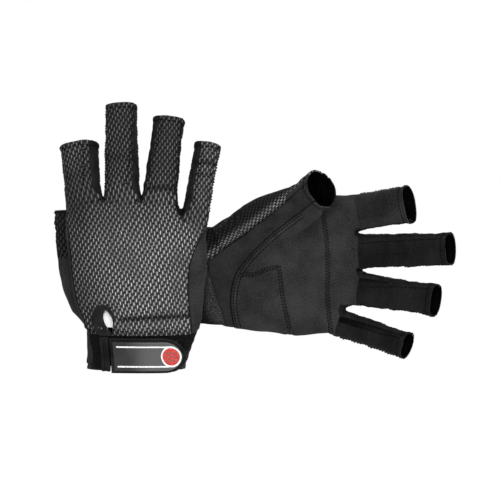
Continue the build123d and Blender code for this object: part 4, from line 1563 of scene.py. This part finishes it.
def sew(side, tree, glove_turn):
    """All the stitches of one glove, one piece for each body."""
    pitch, length, radius = STITCH
    chosen = {}
    for body, points, normals in seam_rows(side, tree):
        places, directions, index = along_curve(points, pitch)
        if len(places):
            entry = chosen.setdefault(body, ([], [], []))
            for store, values in zip(entry, (places, directions, normals[index])):
                store.append(values)
    for body, parts in chosen.items():
        places, directions, normals = (np.vstack(values) for values in parts)
        verts, faces = stitch_mesh(places, directions, normals, length, radius)
        make_stitches(side, body, np.array(verts), faces, glove_turn)
    pitch, length, radius = STRAP_STITCH
    border = strap_loop(STRAP_ROW)
    border = np.vstack([border[:-6], border[:1]])
    raised = cuff_top(GLOVES[side], border[:, 0], border[:, 1], TAB[1])
    above = cuff_top(GLOVES[side], border[:, 0], border[:, 1], TAB[1] + 1)
    places, directions, index = along_curve(raised, pitch)
    verts, faces = stitch_mesh(places, directions, (above - raised)[index], length, radius)
    make_stitches(side, "strap", np.array(verts), faces, glove_turn)


def make_stitches(side, body, verts, faces, glove_turn):
    turn, shift = glove_turn
    if np.linalg.det(turn) < 0:
        faces = [face[::-1] for face in faces]
    piece = link(f"{side}_{body}_stitches", (verts @ turn.T + shift) * MM, faces, [MATERIALS["thread"]])
    hang(piece, side, f"{side}_{body}")


# ---- one glove -----------------------------------------------------------------------------------
# the CAD node of each panel that doesn't share its node's name
REPLACED = {"webs": "flex_gussets", "thumb_web": "thumb_palm", "thumb_strip": "palm_panel"}


def build_glove(side):
    """All the pieces of one glove."""
    glove_turn = settle(side)
    bm, rest = skin(side)
    tree = BVHTree.FromBMesh(bm)
    cut_skin(side, bm, rest)
    made = panels(side, bm, rest, glove_turn)
    bm.free()
    for key, piece in made.items():
        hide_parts(f"{side}_{REPLACED.get(key, key)}")
    sew(side, tree, glove_turn)
    strap(side)
    vent_binding(side)


for side in GLOVES:
    build_glove(side)


# ---- table, lights and camera --------------------------------------------------------------------
LIT_POINT = Vector((0, 0, 0.02))


def area_light(name, place, size, power):
    """A round white lamp, size in metres and power in watts, facing the middle of the pair."""
    data = bpy.data.lights.new(name, "AREA")
    data.shape = "DISK"
    data.size = size
    data.energy = power
    lamp = bpy.data.objects.new(name, data)
    bpy.context.scene.collection.objects.link(lamp)
    lamp.location = place
    lamp.rotation_euler = (LIT_POINT - Vector(place)).to_track_quat("-Z", "Y").to_euler()


floor = link("table_top", [(-3, -3, 0), (3, -3, 0), (3, 3, 0), (-3, 3, 0)], [(0, 1, 2, 3)], [])
table = Shade("table_white", grey(0.0), 1.0, Specular_IOR_Level=0.0, Emission_Strength=1.0)
floor.data.materials.append(table.material)

world = bpy.data.worlds.new("studio")
bpy.context.scene.world = world
world.use_nodes = True
background = world.node_tree.nodes["Background"].inputs
background["Color"].default_value = (1, 1, 1, 1)
background["Strength"].default_value = 0.55

area_light("overhead", (0.10, 0.18, 1.15), 0.9, 16)
area_light("side", (0.9, -0.2, 0.8), 0.5, 4)

lens = bpy.data.cameras.new("camera")
lens.lens = 100
lens.sensor_width = 36
camera = bpy.data.objects.new("camera", lens)
camera.location = (-0.00164, -0.0091, 0.998)
bpy.context.scene.collection.objects.link(camera)
bpy.context.scene.camera = camera
bpy.context.scene.view_settings.view_transform = "Standard"
